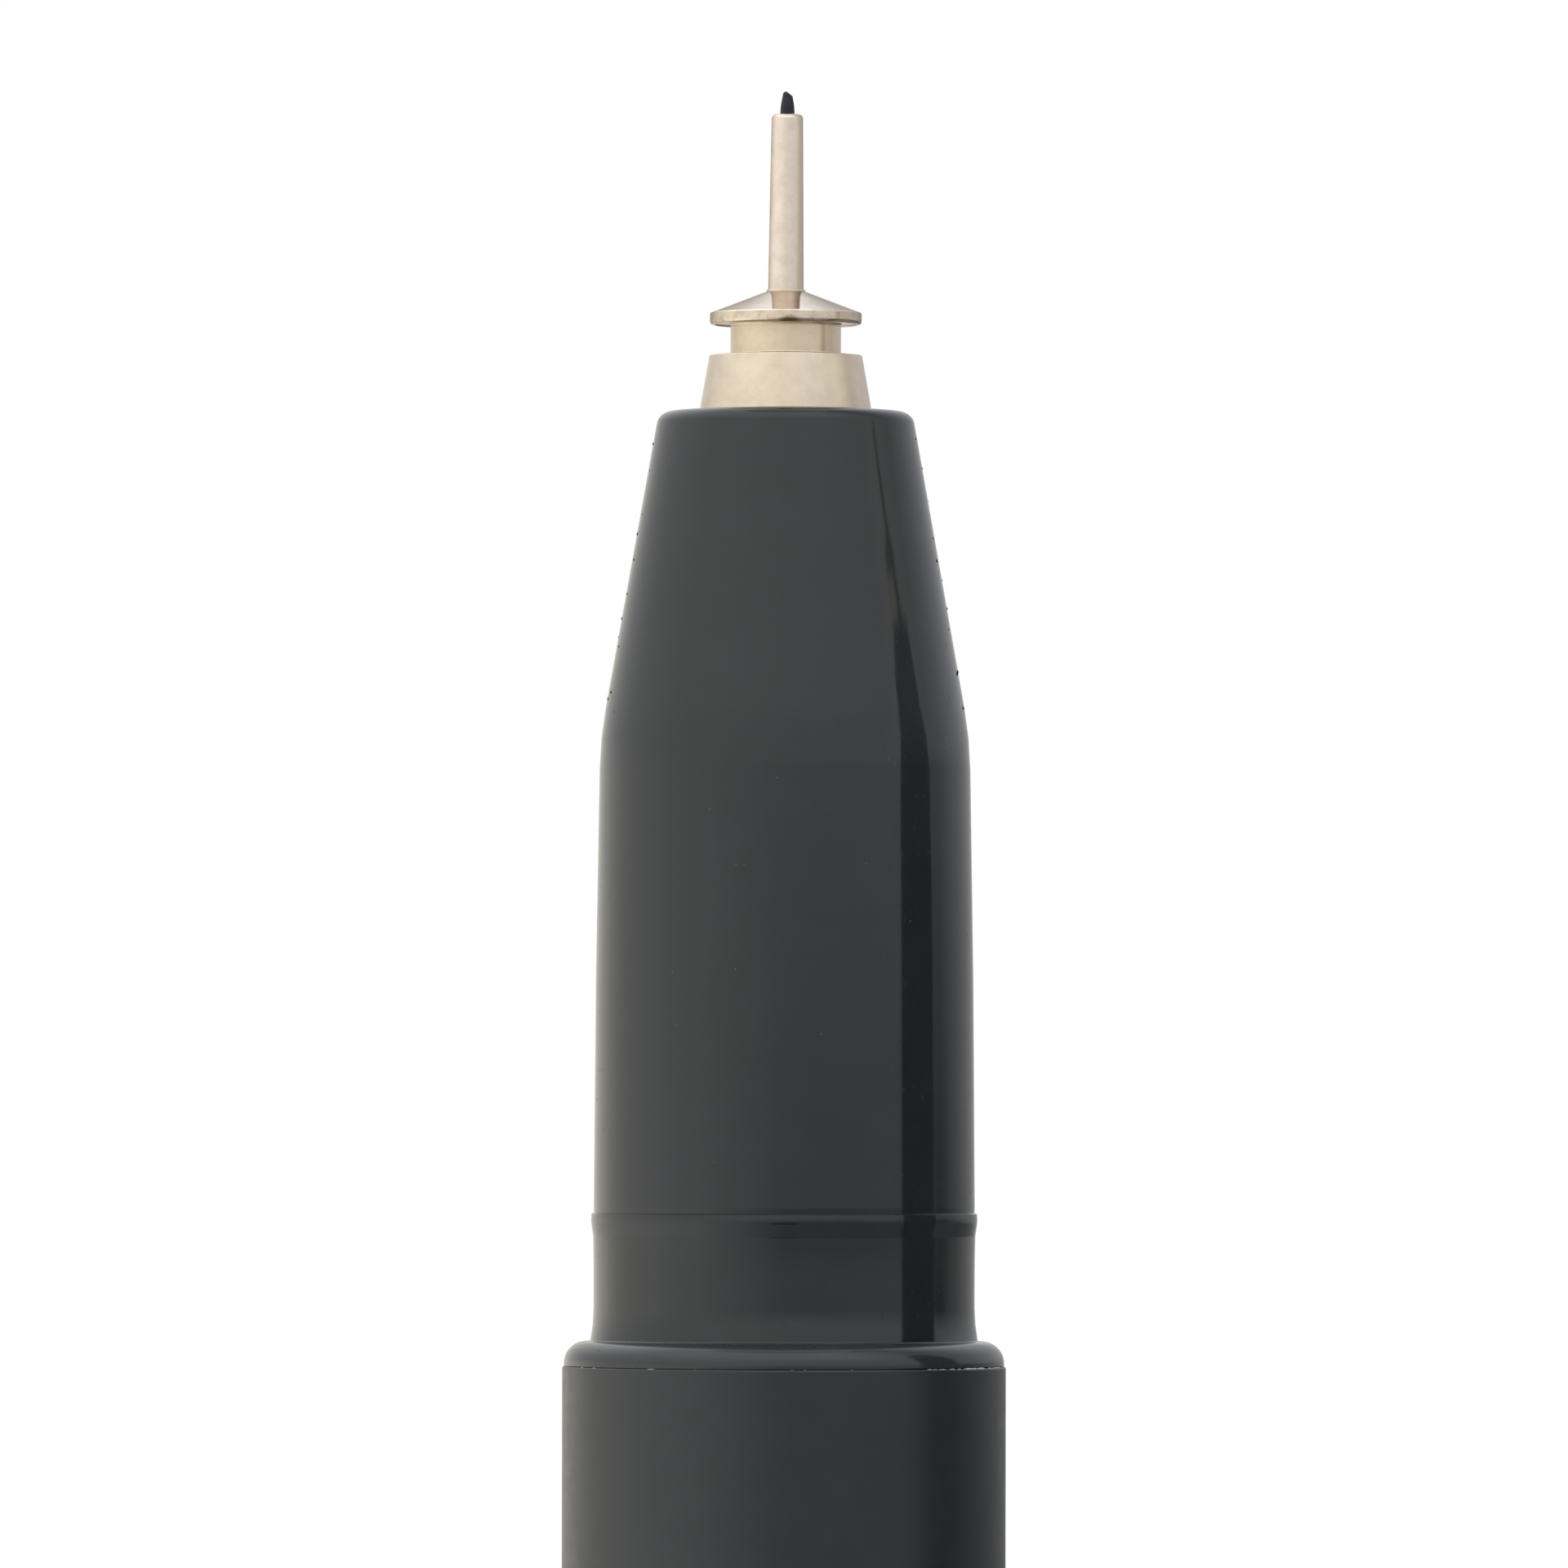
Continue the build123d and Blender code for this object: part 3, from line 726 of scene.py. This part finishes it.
def clip_arm():
    """Spring strip with rounded edges that narrows to a round tip."""
    route = clip_route()
    lengths = [0.0]
    for before, after in zip(route, route[1:]):
        lengths.append(lengths[-1] + (after - before).length)
    total = lengths[-1]
    tip_radius = CLIP_TIP_WIDTH / 2
    tip_start = total - tip_radius

    def at(length):
        """Place and way of the route at a length along it."""
        for index in range(len(route) - 1):
            if length <= lengths[index + 1] or index == len(route) - 2:
                part = (length - lengths[index]) / (lengths[index + 1] - lengths[index])
                way = (route[index + 1] - route[index]).normalized()
                return route[index].lerp(route[index + 1], part), way

    stops = [total * step / CLIP_STEPS for step in range(CLIP_STEPS)]
    stops = [stop for stop in stops if stop < tip_start]
    for step in range(CLIP_TIP_STEPS):
        stops.append(total - tip_radius * math.cos(math.pi / 2 * step / CLIP_TIP_STEPS))
    places = []
    rings = []
    for stop in stops:
        place, way = at(stop)
        outward = Vector((way.y, -way.x))
        half = (CLIP_ROOT_WIDTH + (CLIP_TIP_WIDTH - CLIP_ROOT_WIDTH) * stop / total) / 2
        past = max(0.0, stop - tip_start)
        half *= math.sqrt(max(CLIP_TIP_LEAST, 1 - (past / tip_radius) ** 2))
        edge = min(CLIP_EDGE_ROUND, half * CLIP_ROUND_SHARE)
        first = len(places)
        for quarter, (across, up) in enumerate(((1, 1), (-1, 1), (-1, -1), (1, -1))):
            for step in range(CLIP_CORNER_STEPS):
                spin = math.pi / 2 * (quarter + step / (CLIP_CORNER_STEPS - 1))
                wide = across * (half - edge) + edge * math.cos(spin)
                deep = up * (CLIP_THICKNESS / 2 - edge) + edge * math.sin(spin)
                spot = place + outward * deep
                places.append((spot.x, wide, spot.y))
        rings.append(list(range(first, len(places))))
    faces = bands(rings)
    faces.append(tuple(reversed(rings[0])))
    faces.append(tuple(rings[-1]))
    return mesh_piece("cap_clip_arm", places, faces)


def seam_flash():
    """Slivers of torn flash along the parting line between the barrel and the section, which get a pale
    colour as painted glints.
    """
    chance = random.Random(FLASH_SEED)
    places = []
    faces = []
    foot = parting - FLASH_DROP
    face_radius = barrel_radius - BARREL_FRONT_ROUND / 2
    root_radius = barrel_radius - BARREL_FRONT_ROUND
    for begin, end, count, size in FLASH_RUNS:
        for index in range(count):
            middle = math.radians(begin + (end - begin) * (index + chance.random()) / count)
            length = math.radians(chance.uniform(*FLASH_DEGREES)) * size
            tall = chance.uniform(*FLASH_HEIGHTS) * size
            reach = chance.uniform(*FLASH_REACHES) * size
            first = len(places)
            for share in FLASH_SECTIONS:
                angle = middle + length * share
                swell = max(FLASH_END, 1 - abs(share))
                for radius, height in (
                    (face_radius, foot - tall * swell),
                    (face_radius + reach * swell, foot),
                    (face_radius, foot + tall * swell),
                    (root_radius, foot),
                ):
                    places.append((radius * math.cos(angle), radius * math.sin(angle), height))
            last = len(places) - FLASH_SIDES
            for low in range(first, last, FLASH_SIDES):
                for step in range(FLASH_SIDES):
                    here = low + step
                    beside = low + (step + 1) % FLASH_SIDES
                    faces.append((here, here + FLASH_SIDES, beside + FLASH_SIDES, beside))
            faces.append(tuple(range(first, first + FLASH_SIDES)))
            faces.append(tuple(reversed(range(last, len(places)))))
    return mesh_piece("pen_seam_flash_painted_glints", places, faces)


def specks(name, piece, spots):
    """Tiny six-cornered lumps on a piece's outer surface: each spot is an angle, a height and a size."""
    corners = [point.co for point in piece.data.vertices]
    surface = BVHTree.FromPolygons(corners, [face.vertices for face in piece.data.polygons])
    places = []
    faces = []
    for angle, height, size in spots:
        way = Vector((math.cos(angle), math.sin(angle), 0.0))
        start = way * barrel_radius * 2 + Vector((0.0, 0.0, height))
        middle, out = surface.ray_cast(start, -way)[:2]
        along = Vector((-way.y, way.x, 0.0))
        up = out.cross(along)
        peak = len(places)
        reaches = (out * SPECK_OUT, along, up * SPECK_UP, -along, -up * SPECK_DOWN, -out)
        places.extend(middle + reach * size for reach in reaches)
        root = len(places) - 1
        rim = list(range(peak + 1, root))
        for here, after in zip(rim, rim[1:] + rim[:1]):
            faces.append((peak, here, after))
            faces.append((root, after, here))
    return mesh_piece(name, places, faces)


def burr_spots():
    """Burrs on the taper, next to the mould's parting line on the right and on the left."""
    chance = random.Random(BURR_SEED)
    spots = []
    low = nose_start + NOSE_EDGE_ROUND
    span = nose_face - NOSE_EDGE_ROUND * 2 - low
    for side, turn in ((0.0, -BURR_SWING), (math.pi, BURR_SWING)):
        for index in range(BURR_COUNT):
            height = low + span * (index + chance.random()) / BURR_COUNT
            spots.append((side + turn * chance.random(), height, BURR_SIZE * chance.uniform(*SPECK_SIZES)))
    return spots


def dust_spots():
    """Dust all round the grip."""
    chance = random.Random(DUST_SEED)
    spots = []
    for _ in range(DUST_COUNT):
        height = chance.uniform(shoulder + BEAD_GROOVE_TOP, nose_start)
        spots.append((chance.uniform(0.0, math.tau), height, DUST_SIZE * chance.uniform(*SPECK_SIZES)))
    return spots


class Nodes:
    """Nodes of a new material or world, with short calls that add and link them."""

    def __init__(self, name, library=bpy.data.materials):
        self.owner = library.new(name)
        self.owner.use_nodes = True
        self.tree = self.owner.node_tree
        self.coords = self.tree.nodes.new("ShaderNodeTexCoord").outputs["Object"]

    def fill(self, node, entries):
        """Links a node's inputs to outputs, or sets them to constants."""
        for key, value in entries.items():
            if isinstance(value, bpy.types.NodeSocket):
                self.tree.links.new(value, node.inputs[key])
            else:
                node.inputs[key].default_value = value

    def add(self, kind, entries, output, **settings):
        """An output of a new node, whose inputs are filled."""
        node = self.tree.nodes.new(kind)
        for key, value in settings.items():
            setattr(node, key, value)
        self.fill(node, entries)
        return node.outputs[output]

    def dress(self, entries):
        """The material, with its shader's inputs filled."""
        self.fill(self.tree.nodes["Principled BSDF"], entries)
        return self.owner

    def axis(self, name):
        """One of the three object coordinates."""
        return self.add("ShaderNodeSeparateXYZ", {"Vector": self.coords}, name)

    def stretched(self, scale):
        """Object coordinates, scaled apart along the three axes."""
        return self.add("ShaderNodeMapping", {"Vector": self.coords, "Scale": scale}, "Vector")

    def noise(self, scale, detail, roughness=0.5):
        """Noise value over the surface, stretched if it has a scale for each axis."""
        entries = {"Vector": self.coords, "Scale": scale, "Detail": detail, "Roughness": roughness}
        if isinstance(scale, tuple):
            entries["Vector"] = self.stretched(scale)
            entries["Scale"] = 1.0
        return self.add("ShaderNodeTexNoise", entries, "Fac")

    def calculated(self, operation, *values):
        """Result of an operation on outputs and constants."""
        return self.add("ShaderNodeMath", dict(enumerate(values)), "Value", operation=operation)

    def ranged(self, value, low=0.0, high=1.0, span=(0.0, 1.0)):
        """Value taken from a span to another range."""
        entries = {"Value": value, "From Min": span[0], "From Max": span[1], "To Min": low, "To Max": high}
        return self.add("ShaderNodeMapRange", entries, "Result")

    def ramp(self, value, stops):
        """Colours along a value: each stop is a place and a colour."""
        node = self.tree.nodes.new("ShaderNodeValToRGB")
        elements = node.color_ramp.elements
        while len(elements) < len(stops):
            elements.new(1.0)
        for element, (place, colour) in zip(elements, stops):
            element.position = place
            element.color = (*colour, 1.0)
        self.fill(node, {"Fac": value})
        return node.outputs["Color"]

    def toned(self, value, colour, low, high, span=NOISE_SPAN):
        """Colour that goes from one share of itself to another along a span of the value."""
        return self.ramp(value, [(span[0], shade(colour, low)), (span[1], shade(colour, high))])

    def mixed(self, factor, first, second):
        """Mix of two colours, whose sockets come after those for numbers and vectors."""
        return self.add("ShaderNodeMix", {"Factor": factor, 6: first, 7: second}, 2, data_type="RGBA")

    def bump(self, value, depth, normal=None):
        """Bump from a height value, its depth in metres, over another bump if there is one."""
        entries = {"Height": value, "Strength": 1.0, "Distance": depth}
        if normal is not None:
            entries["Normal"] = normal
        return self.add("ShaderNodeBump", entries, "Normal")


def shade(colour, factor):
    """Colour made darker or lighter."""
    return tuple(part * factor for part in colour)


def plastic(name, colour, smooth, rough, grain=4e-7, scuff=0.0):
    """Moulded plastic: faint mottling, uneven gloss, a fine grain and sparse scuffs along the axis."""
    nodes = Nodes(name)
    mottle = nodes.noise(scale=900, detail=6)
    uneven = nodes.ranged(nodes.noise(scale=2600, detail=5), smooth, rough, NOISE_SPAN)
    scuffs = nodes.noise(scale=(12000, 12000, 5000), detail=3, roughness=0.6)
    scuffed = nodes.ranged(scuffs, high=scuff, span=(0.64, 0.74))
    waves = nodes.bump(nodes.noise(scale=1400, detail=2), grain * 2)
    return nodes.dress({
        "Base Color": nodes.toned(mottle, colour, low=0.9, high=1.1, span=(0.25, 0.75)),
        "Roughness": nodes.calculated("ADD", uneven, scuffed),
        "Normal": nodes.bump(nodes.noise(scale=26000, detail=3), grain, waves),
        "IOR": 1.5,
    })


def worked_metal(name, colour, smooth, rough, bare, tarnish,
                 lines=TURNED, depth=LINE_DEPTH, dark_patch=RIM_DARK_PATCH, edge=EDGE_METAL):
    """Turned or brushed metal: fine lines, mottled tone, tarnish, pits and a darker patch at a set place;
    bare is its metallic share.
    """
    nodes = Nodes(name)
    patches = nodes.noise(scale=2600, detail=5, roughness=0.55)
    cloud = nodes.noise(scale=3300, detail=6, roughness=0.65)
    pits = nodes.noise(scale=15000, detail=2)
    place, stretch, size, share = dark_patch
    middle = [part * factor for part, factor in zip(place, stretch)]
    ends = {0: nodes.stretched(stretch), 1: middle}
    near = nodes.add("ShaderNodeVectorMath", ends, "Value", operation="DISTANCE")
    ragged = nodes.calculated("MULTIPLY_ADD", cloud, size, near)
    tarnish_and_patch = nodes.ranged(ragged, share, 0.0, (size, size * PATCH_FADE))
    for value, span in ((cloud, (0.47, 0.68)), (pits, (0.68, 0.76))):
        tarnish_and_patch = nodes.calculated("MAXIMUM", tarnish_and_patch, nodes.ranged(value, 0.0, tarnish, span))
    tone = nodes.toned(patches, colour, low=0.92, high=1.06)
    grain = nodes.bump(nodes.noise(scale=14000, detail=4), depth / 2)
    return nodes.dress({
        "Base Color": nodes.mixed(tarnish_and_patch, tone, (*TARNISH, 1.0)),
        "Roughness": nodes.ranged(patches, smooth, rough, NOISE_SPAN),
        "Normal": nodes.bump(nodes.noise(lines, detail=5, roughness=0.65), depth, grain),
        "Metallic": bare,
        "Specular Tint": (*edge, 1.0),
    })


def fibre(name, colour, pitch, smooth, rough):
    """Inked fibre: fine strands along the axis with uneven tone."""
    nodes = Nodes(name)
    strands = nodes.noise((pitch, pitch, pitch / STRAND_RATIO), detail=4, roughness=0.6)
    return nodes.dress({
        "Base Color": nodes.toned(strands, colour, low=0.6, high=1.7, span=(0.3, 0.75)),
        "Roughness": nodes.ranged(strands, smooth, rough, NOISE_SPAN),
        "Normal": nodes.bump(strands, depth=2e-6),
        "Specular IOR Level": 0.38,
    })


def soft_plastic(name, colour):
    """Natural cloudy plastic that light enters a little."""
    nodes = Nodes(name)
    return nodes.dress({
        "Base Color": nodes.toned(nodes.noise(scale=700, detail=5), colour, low=0.93, high=1.04),
        "Roughness": nodes.ranged(nodes.noise(scale=3000, detail=4), low=0.36, high=0.48, span=NOISE_SPAN),
        "Normal": nodes.bump(nodes.noise(scale=9000, detail=3), depth=6e-7),
        "Subsurface Weight": 0.35,
        "Subsurface Scale": 0.0008,
    })


gloss = plastic("gloss_black_plastic", BLACK, smooth=0.06, rough=0.1, grain=3e-8, scuff=0.45)
# Lighter black for the shoulder: painted light where it faces up; rougher where the cap's edge rubs it
lit_and_worn_shoulder = plastic("shoulder_black_plastic_painted_light", shade(BLACK, 1.5), smooth=0.1, rough=0.16, grain=6e-8, scuff=0.5)
satin = plastic("satin_black_plastic", BLACK, smooth=0.3, rough=0.36, grain=1.2e-7)
# Pale grey on slivers of black flash: painted glints
flash_painted_glint = plastic("torn_flash_painted_glint", (0.42, 0.42, 0.41), smooth=0.3, rough=0.5)
# Darker black for the burrs: painted shade of nicks at the taper's edges
burr_painted_shade_black = plastic("burr_black_painted_shade", shade(BLACK, 0.4), smooth=0.85, rough=0.95)
dust_grey = plastic("settled_dust", (0.12, 0.12, 0.12), smooth=0.7, rough=0.9)
metal = worked_metal(
    "turned_warm_metal", WARM_METAL, smooth=0.12, rough=0.2, bare=0.8, tarnish=0.05, edge=PALE_EDGE)
tarnished = worked_metal(
    "tarnished_warm_metal", shade(WARM_METAL, 1.05), smooth=0.12, rough=0.22, bare=0.9, tarnish=0.42)
# Warmer colour of the neck: painted warm reflection between collar and flange
dull_neck_painted_warmth = worked_metal(
    "dull_neck_metal_painted_warmth", (0.7, 0.575, 0.41), smooth=0.14, rough=0.22, bare=0.8, tarnish=0.08, edge=PALE_EDGE)
drawn = worked_metal(
    "drawn_warm_metal", (0.76, 0.655, 0.545), smooth=0.2, rough=0.28, bare=0.84, tarnish=0.13,
    depth=4e-7, dark_patch=TUBE_DARK_STRIPE)
# Lighter colour of the cone: painted light on its upward face; the low roughness is its real polish
polished_cone_painted_light = worked_metal(
    "polished_cone_metal_painted_light", (0.84, 0.78, 0.7), smooth=0.05, rough=0.09, bare=1.0, tarnish=0.02, depth=4e-8)
steel = worked_metal(
    "brushed_spring_steel", (0.62, 0.60, 0.57), smooth=0.22, rough=0.28, bare=0.88, tarnish=0.0,
    lines=BRUSHED, depth=5e-7)
# Bluish black for the nib: the blue tint is painted sheen on black inked fibre
nib_fibre_painted_sheen = fibre("inked_nib_fibre_painted_blue_sheen", (0.005, 0.0042, 0.0115), pitch=26000, smooth=0.24, rough=0.44)
ink_black = fibre("inked_core_fibre", (0.02, 0.02, 0.025), pitch=9000, smooth=0.6, rough=0.8)
cup_white = soft_plastic("natural_cup_plastic", (0.75, 0.75, 0.72))
film_clear = soft_plastic("wrap_film", (0.8, 0.81, 0.82))

# Pieces, each with its body, its node, its slot and its material
section = front_section()
dressed = [
    (section, "pen", "front_section", "gloss_black", gloss),
    (barrel(), "pen", "barrel", "satin_black", satin),
    (tip_collar(), "pen", "tip_collar", "tip_metal", metal),
    (nib_tube(), "pen", "nib_tube", "tip_metal", drawn),
    (nib(), "pen", "nib", "nib_fibre", nib_fibre_painted_sheen),
    (rear_plug(), "pen", "rear_plug", "gloss_black", gloss),
    (seam_flash(), "pen", None, "gloss_black", flash_painted_glint),
    (specks("pen_edge_burrs_painted_shade", section, burr_spots()), "pen", None, "gloss_black", burr_painted_shade_black),
    (specks("pen_dust", section, dust_spots()), "pen", None, "gloss_black", dust_grey),
    (cap_shell(), "cap", "cap_shell", "satin_black", satin),
    (inner_cap(), "cap", "inner_cap", "cup_plastic", cup_white),
    (cap_plug(), "cap", "cap_plug", "gloss_black", gloss),
    (clip_ring(), "cap", "clip", "clip_steel", steel),
    (clip_arm(), "cap", "clip", "clip_steel", steel),
]
for piece, body, node, slot, material in dressed:
    piece.data.materials.append(material)
    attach(piece, body)
    if node is not None:
        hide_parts(node)

# The flange's cone has a high polish and a lighter copy of the metal's colour, as painted light on its
# upward face; its rim is tarnished, with a dark patch at its front; the neck is a duller, warmer copy, as
# painted warm reflection between collar and flange
tip = bpy.data.objects["pen_tip"]
for material in (polished_cone_painted_light, tarnished, dull_neck_painted_warmth):
    tip.data.materials.append(material)
for face in tip.data.polygons:
    height = face.center.z
    outward = math.hypot(face.normal.x, face.normal.y)
    # Cone faces: the lighter copy, painted light
    if height > flange_rim - FLANGE_EDGE_ROUND and face.normal.z > FACING:
        face.material_index = 1
    elif flange_under < height < flange_rim and outward > FACING:
        face.material_index = 2
    # Neck faces: the warmer copy, painted warm reflection
    elif collar_top < height < flange_under and outward > STRAIGHT:
        face.material_index = 3

# The shoulder's faces get a lighter, rougher black: the lighter tone is painted light on the upward-facing
# shoulder, the extra roughness is wear where the cap's edge rubs it
section.data.materials.append(lit_and_worn_shoulder)
for face in section.data.polygons:
    outer = math.hypot(face.center.x, face.center.y) > seat_radius + SEAT_SWELL + FLARE_STEP
    if outer and parting + EDGE_ROUND < face.center.z < shoulder + EDGE_ROUND:
        face.material_index = 1

# Inner pieces that keep the frame's shape
inner = (("feed_wick", ink_black), ("ink_reservoir", ink_black), ("reservoir_wrap", film_clear))
for node, material in inner:
    kept = frame["nodes"][node].data
    kept.materials.clear()
    kept.materials.append(material)


def floor():
    """Pale round floor with a faint mottling."""
    points = [(radius, 0.0, 0.0, 1.0) for radius in FLOOR_RADII]
    piece = lathe("floor", points, FLOOR_SEGMENTS, closed=False)
    nodes = Nodes("pale_floor")
    piece.data.materials.append(nodes.dress({
        "Base Color": nodes.ramp(nodes.noise(scale=9, detail=5), list(zip(NOISE_SPAN, FLOOR_TONES))),
        "Roughness": nodes.ranged(nodes.noise(scale=300, detail=4), low=0.7, high=0.8),
        "Normal": nodes.bump(nodes.noise(scale=900, detail=4), depth=1e-5),
        "Specular IOR Level": 0.0,
    }))


def only_reflected(piece, nodes, light, strength=1.0):
    """Makes a piece emit a light that shows in reflections alone."""
    nodes.tree.nodes.remove(nodes.tree.nodes["Principled BSDF"])
    emission = nodes.add("ShaderNodeEmission", {"Color": light, "Strength": strength}, "Emission")
    nodes.fill(nodes.tree.nodes["Material Output"], {"Surface": emission})
    nodes.owner.cycles.emission_sampling = "NONE"
    piece.data.materials.append(nodes.owner)
    for kind in ("camera", "diffuse", "shadow", "transmission", "volume_scatter"):
        setattr(piece, "visible_" + kind, False)


def tent():
    """Round wall and ground about the pen whose brightness changes with direction and height."""
    points = [
        (TENT_HOLE, TENT_GROUND, 0.0, -1.0),
        (TENT_RADIUS, TENT_GROUND, 0.0, -1.0),
        (TENT_RADIUS, TENT_TOP, 1.0, 0.0),
    ]
    piece = lathe("reflection_tent", points, TENT_SEGMENTS, closed=False)
    nodes = Nodes("tent_light")
    away = nodes.calculated("MULTIPLY", nodes.axis("Y"), -1.0)
    direction = nodes.calculated("ARCTAN2", nodes.axis("X"), away)
    around = nodes.ranged(direction, span=(-math.pi, math.pi))
    lights = []
    for table in (TENT_FLOOR, TENT_LOW, TENT_MIDDLE, TENT_HIGH):
        stops = []
        for degrees, level, *tint in table:
            colour = shade(tint[0] if tint else PLAIN, level / TENT_GAIN)
            stops.append(((degrees + 180) / 360, colour))
        lights.append(nodes.ramp(around, stops))
    light = lights[0]
    for (begin, end), above in zip(TENT_RISES, lights[1:]):
        risen = nodes.ranged(nodes.axis("Z"), span=(shoulder + begin, shoulder + end))
        light = nodes.mixed(risen, light, above)
    only_reflected(piece, nodes, light, TENT_GAIN)


def card(name, places, low, high):
    """Flat card for reflections, whose light changes from one colour to another with height."""
    piece = mesh_piece(name, places, [tuple(range(len(places)))])
    nodes = Nodes(name + "_light")
    begin, end = CARD_FADE
    fade = nodes.ranged(nodes.axis("Z"), span=(shoulder + begin, shoulder + end))
    only_reflected(piece, nodes, nodes.ramp(fade, [(0.0, low), (1.0, high)]))


def side_card():
    """Flat dark card of three sheets on the right, which makes the narrow dark strip in the gloss."""
    sheets = (
        ("card_strip", CARD_STRIP, CARD_DARK, CARD_PALE),
        ("card_line", CARD_LINE, CARD_DIM, CARD_DIM),
        ("card_band", CARD_BAND, CARD_BRIGHT, CARD_BRIGHT),
    )
    for layer, (name, corners, low, high) in enumerate(sheets):
        side = CARD_SIDE + layer * CARD_LAYER
        places = [(side, depth / 1000, shoulder + rise / 1000) for depth, rise in corners]
        card(name, places, low, high)


def low_card():
    """Small dark oval low in front of the pen, which the bead's underside shows."""
    side, depth, rise = LOW_CARD_PLACE
    wide, tall = LOW_CARD_HALVES
    places = []
    for step in range(LOW_CARD_SEGMENTS):
        angle = math.tau * step / LOW_CARD_SEGMENTS
        places.append((side + wide * math.cos(angle), depth, shoulder + rise + tall * math.sin(angle)))
    card("card_low", places, CARD_DARK, CARD_DARK)


def lamp(name, power, size, place):
    """Soft lamp that lights rough surfaces and casts the floor's shadow."""
    data = bpy.data.lights.new(name, "AREA")
    data.shape = "DISK"
    data.size = size
    data.energy = power
    source = bpy.data.objects.new(name, data)
    source.location = place
    target = Vector((0.0, 0.0, barrel_front / 2))
    source.rotation_euler = (target - Vector(place)).to_track_quat("-Z", "Y").to_euler()
    source.visible_glossy = False
    scene.collection.objects.link(source)


def world():
    """White for what the camera and reflections see, softer for rough surfaces."""
    nodes = Nodes("studio", bpy.data.worlds)
    scene.world = nodes.owner
    full = nodes.tree.nodes["Background"]
    nodes.fill(full, {"Color": WHITE, "Strength": 1.0})
    soft = nodes.add("ShaderNodeBackground", {"Color": WHITE, "Strength": AMBIENT}, "Background")
    rays = nodes.tree.nodes.new("ShaderNodeLightPath").outputs
    seen = nodes.calculated("MAXIMUM", rays["Is Camera Ray"], rays["Is Glossy Ray"])
    seen = nodes.calculated("MAXIMUM", seen, rays["Is Transmission Ray"])
    lights = {"Fac": seen, 1: soft, 2: full.outputs["Background"]}
    mix = nodes.add("ShaderNodeMixShader", lights, "Shader")
    nodes.fill(nodes.tree.nodes["World Output"], {"Surface": mix})


def camera():
    """Camera at the photograph's place, with a long lens."""
    data = bpy.data.cameras.new("camera")
    data.lens = CAMERA_LENS
    data.sensor_width = CAMERA_SENSOR
    data.clip_start = CAMERA_DISTANCE / CAMERA_CLIP
    data.clip_end = CAMERA_DISTANCE * CAMERA_CLIP
    viewer = bpy.data.objects.new("camera", data)
    place = Vector((CAMERA_SIDE, -CAMERA_DISTANCE, shoulder + CAMERA_RISE))
    aim = Vector((CAMERA_SIDE, 0.0, shoulder + AIM_RISE))
    turned = (aim - place).to_track_quat("-Z", "Y").to_matrix().to_4x4()
    viewer.matrix_world = Matrix.Translation(place) @ turned @ Matrix.Rotation(CAMERA_ROLL, 4, "Z")
    scene.collection.objects.link(viewer)
    scene.camera = viewer


floor()
tent()
side_card()
low_card()
lamp("key", *KEY)
lamp("fill", *FILL)
world()
camera()
bpy.context.scene.view_settings.view_transform = "Standard"
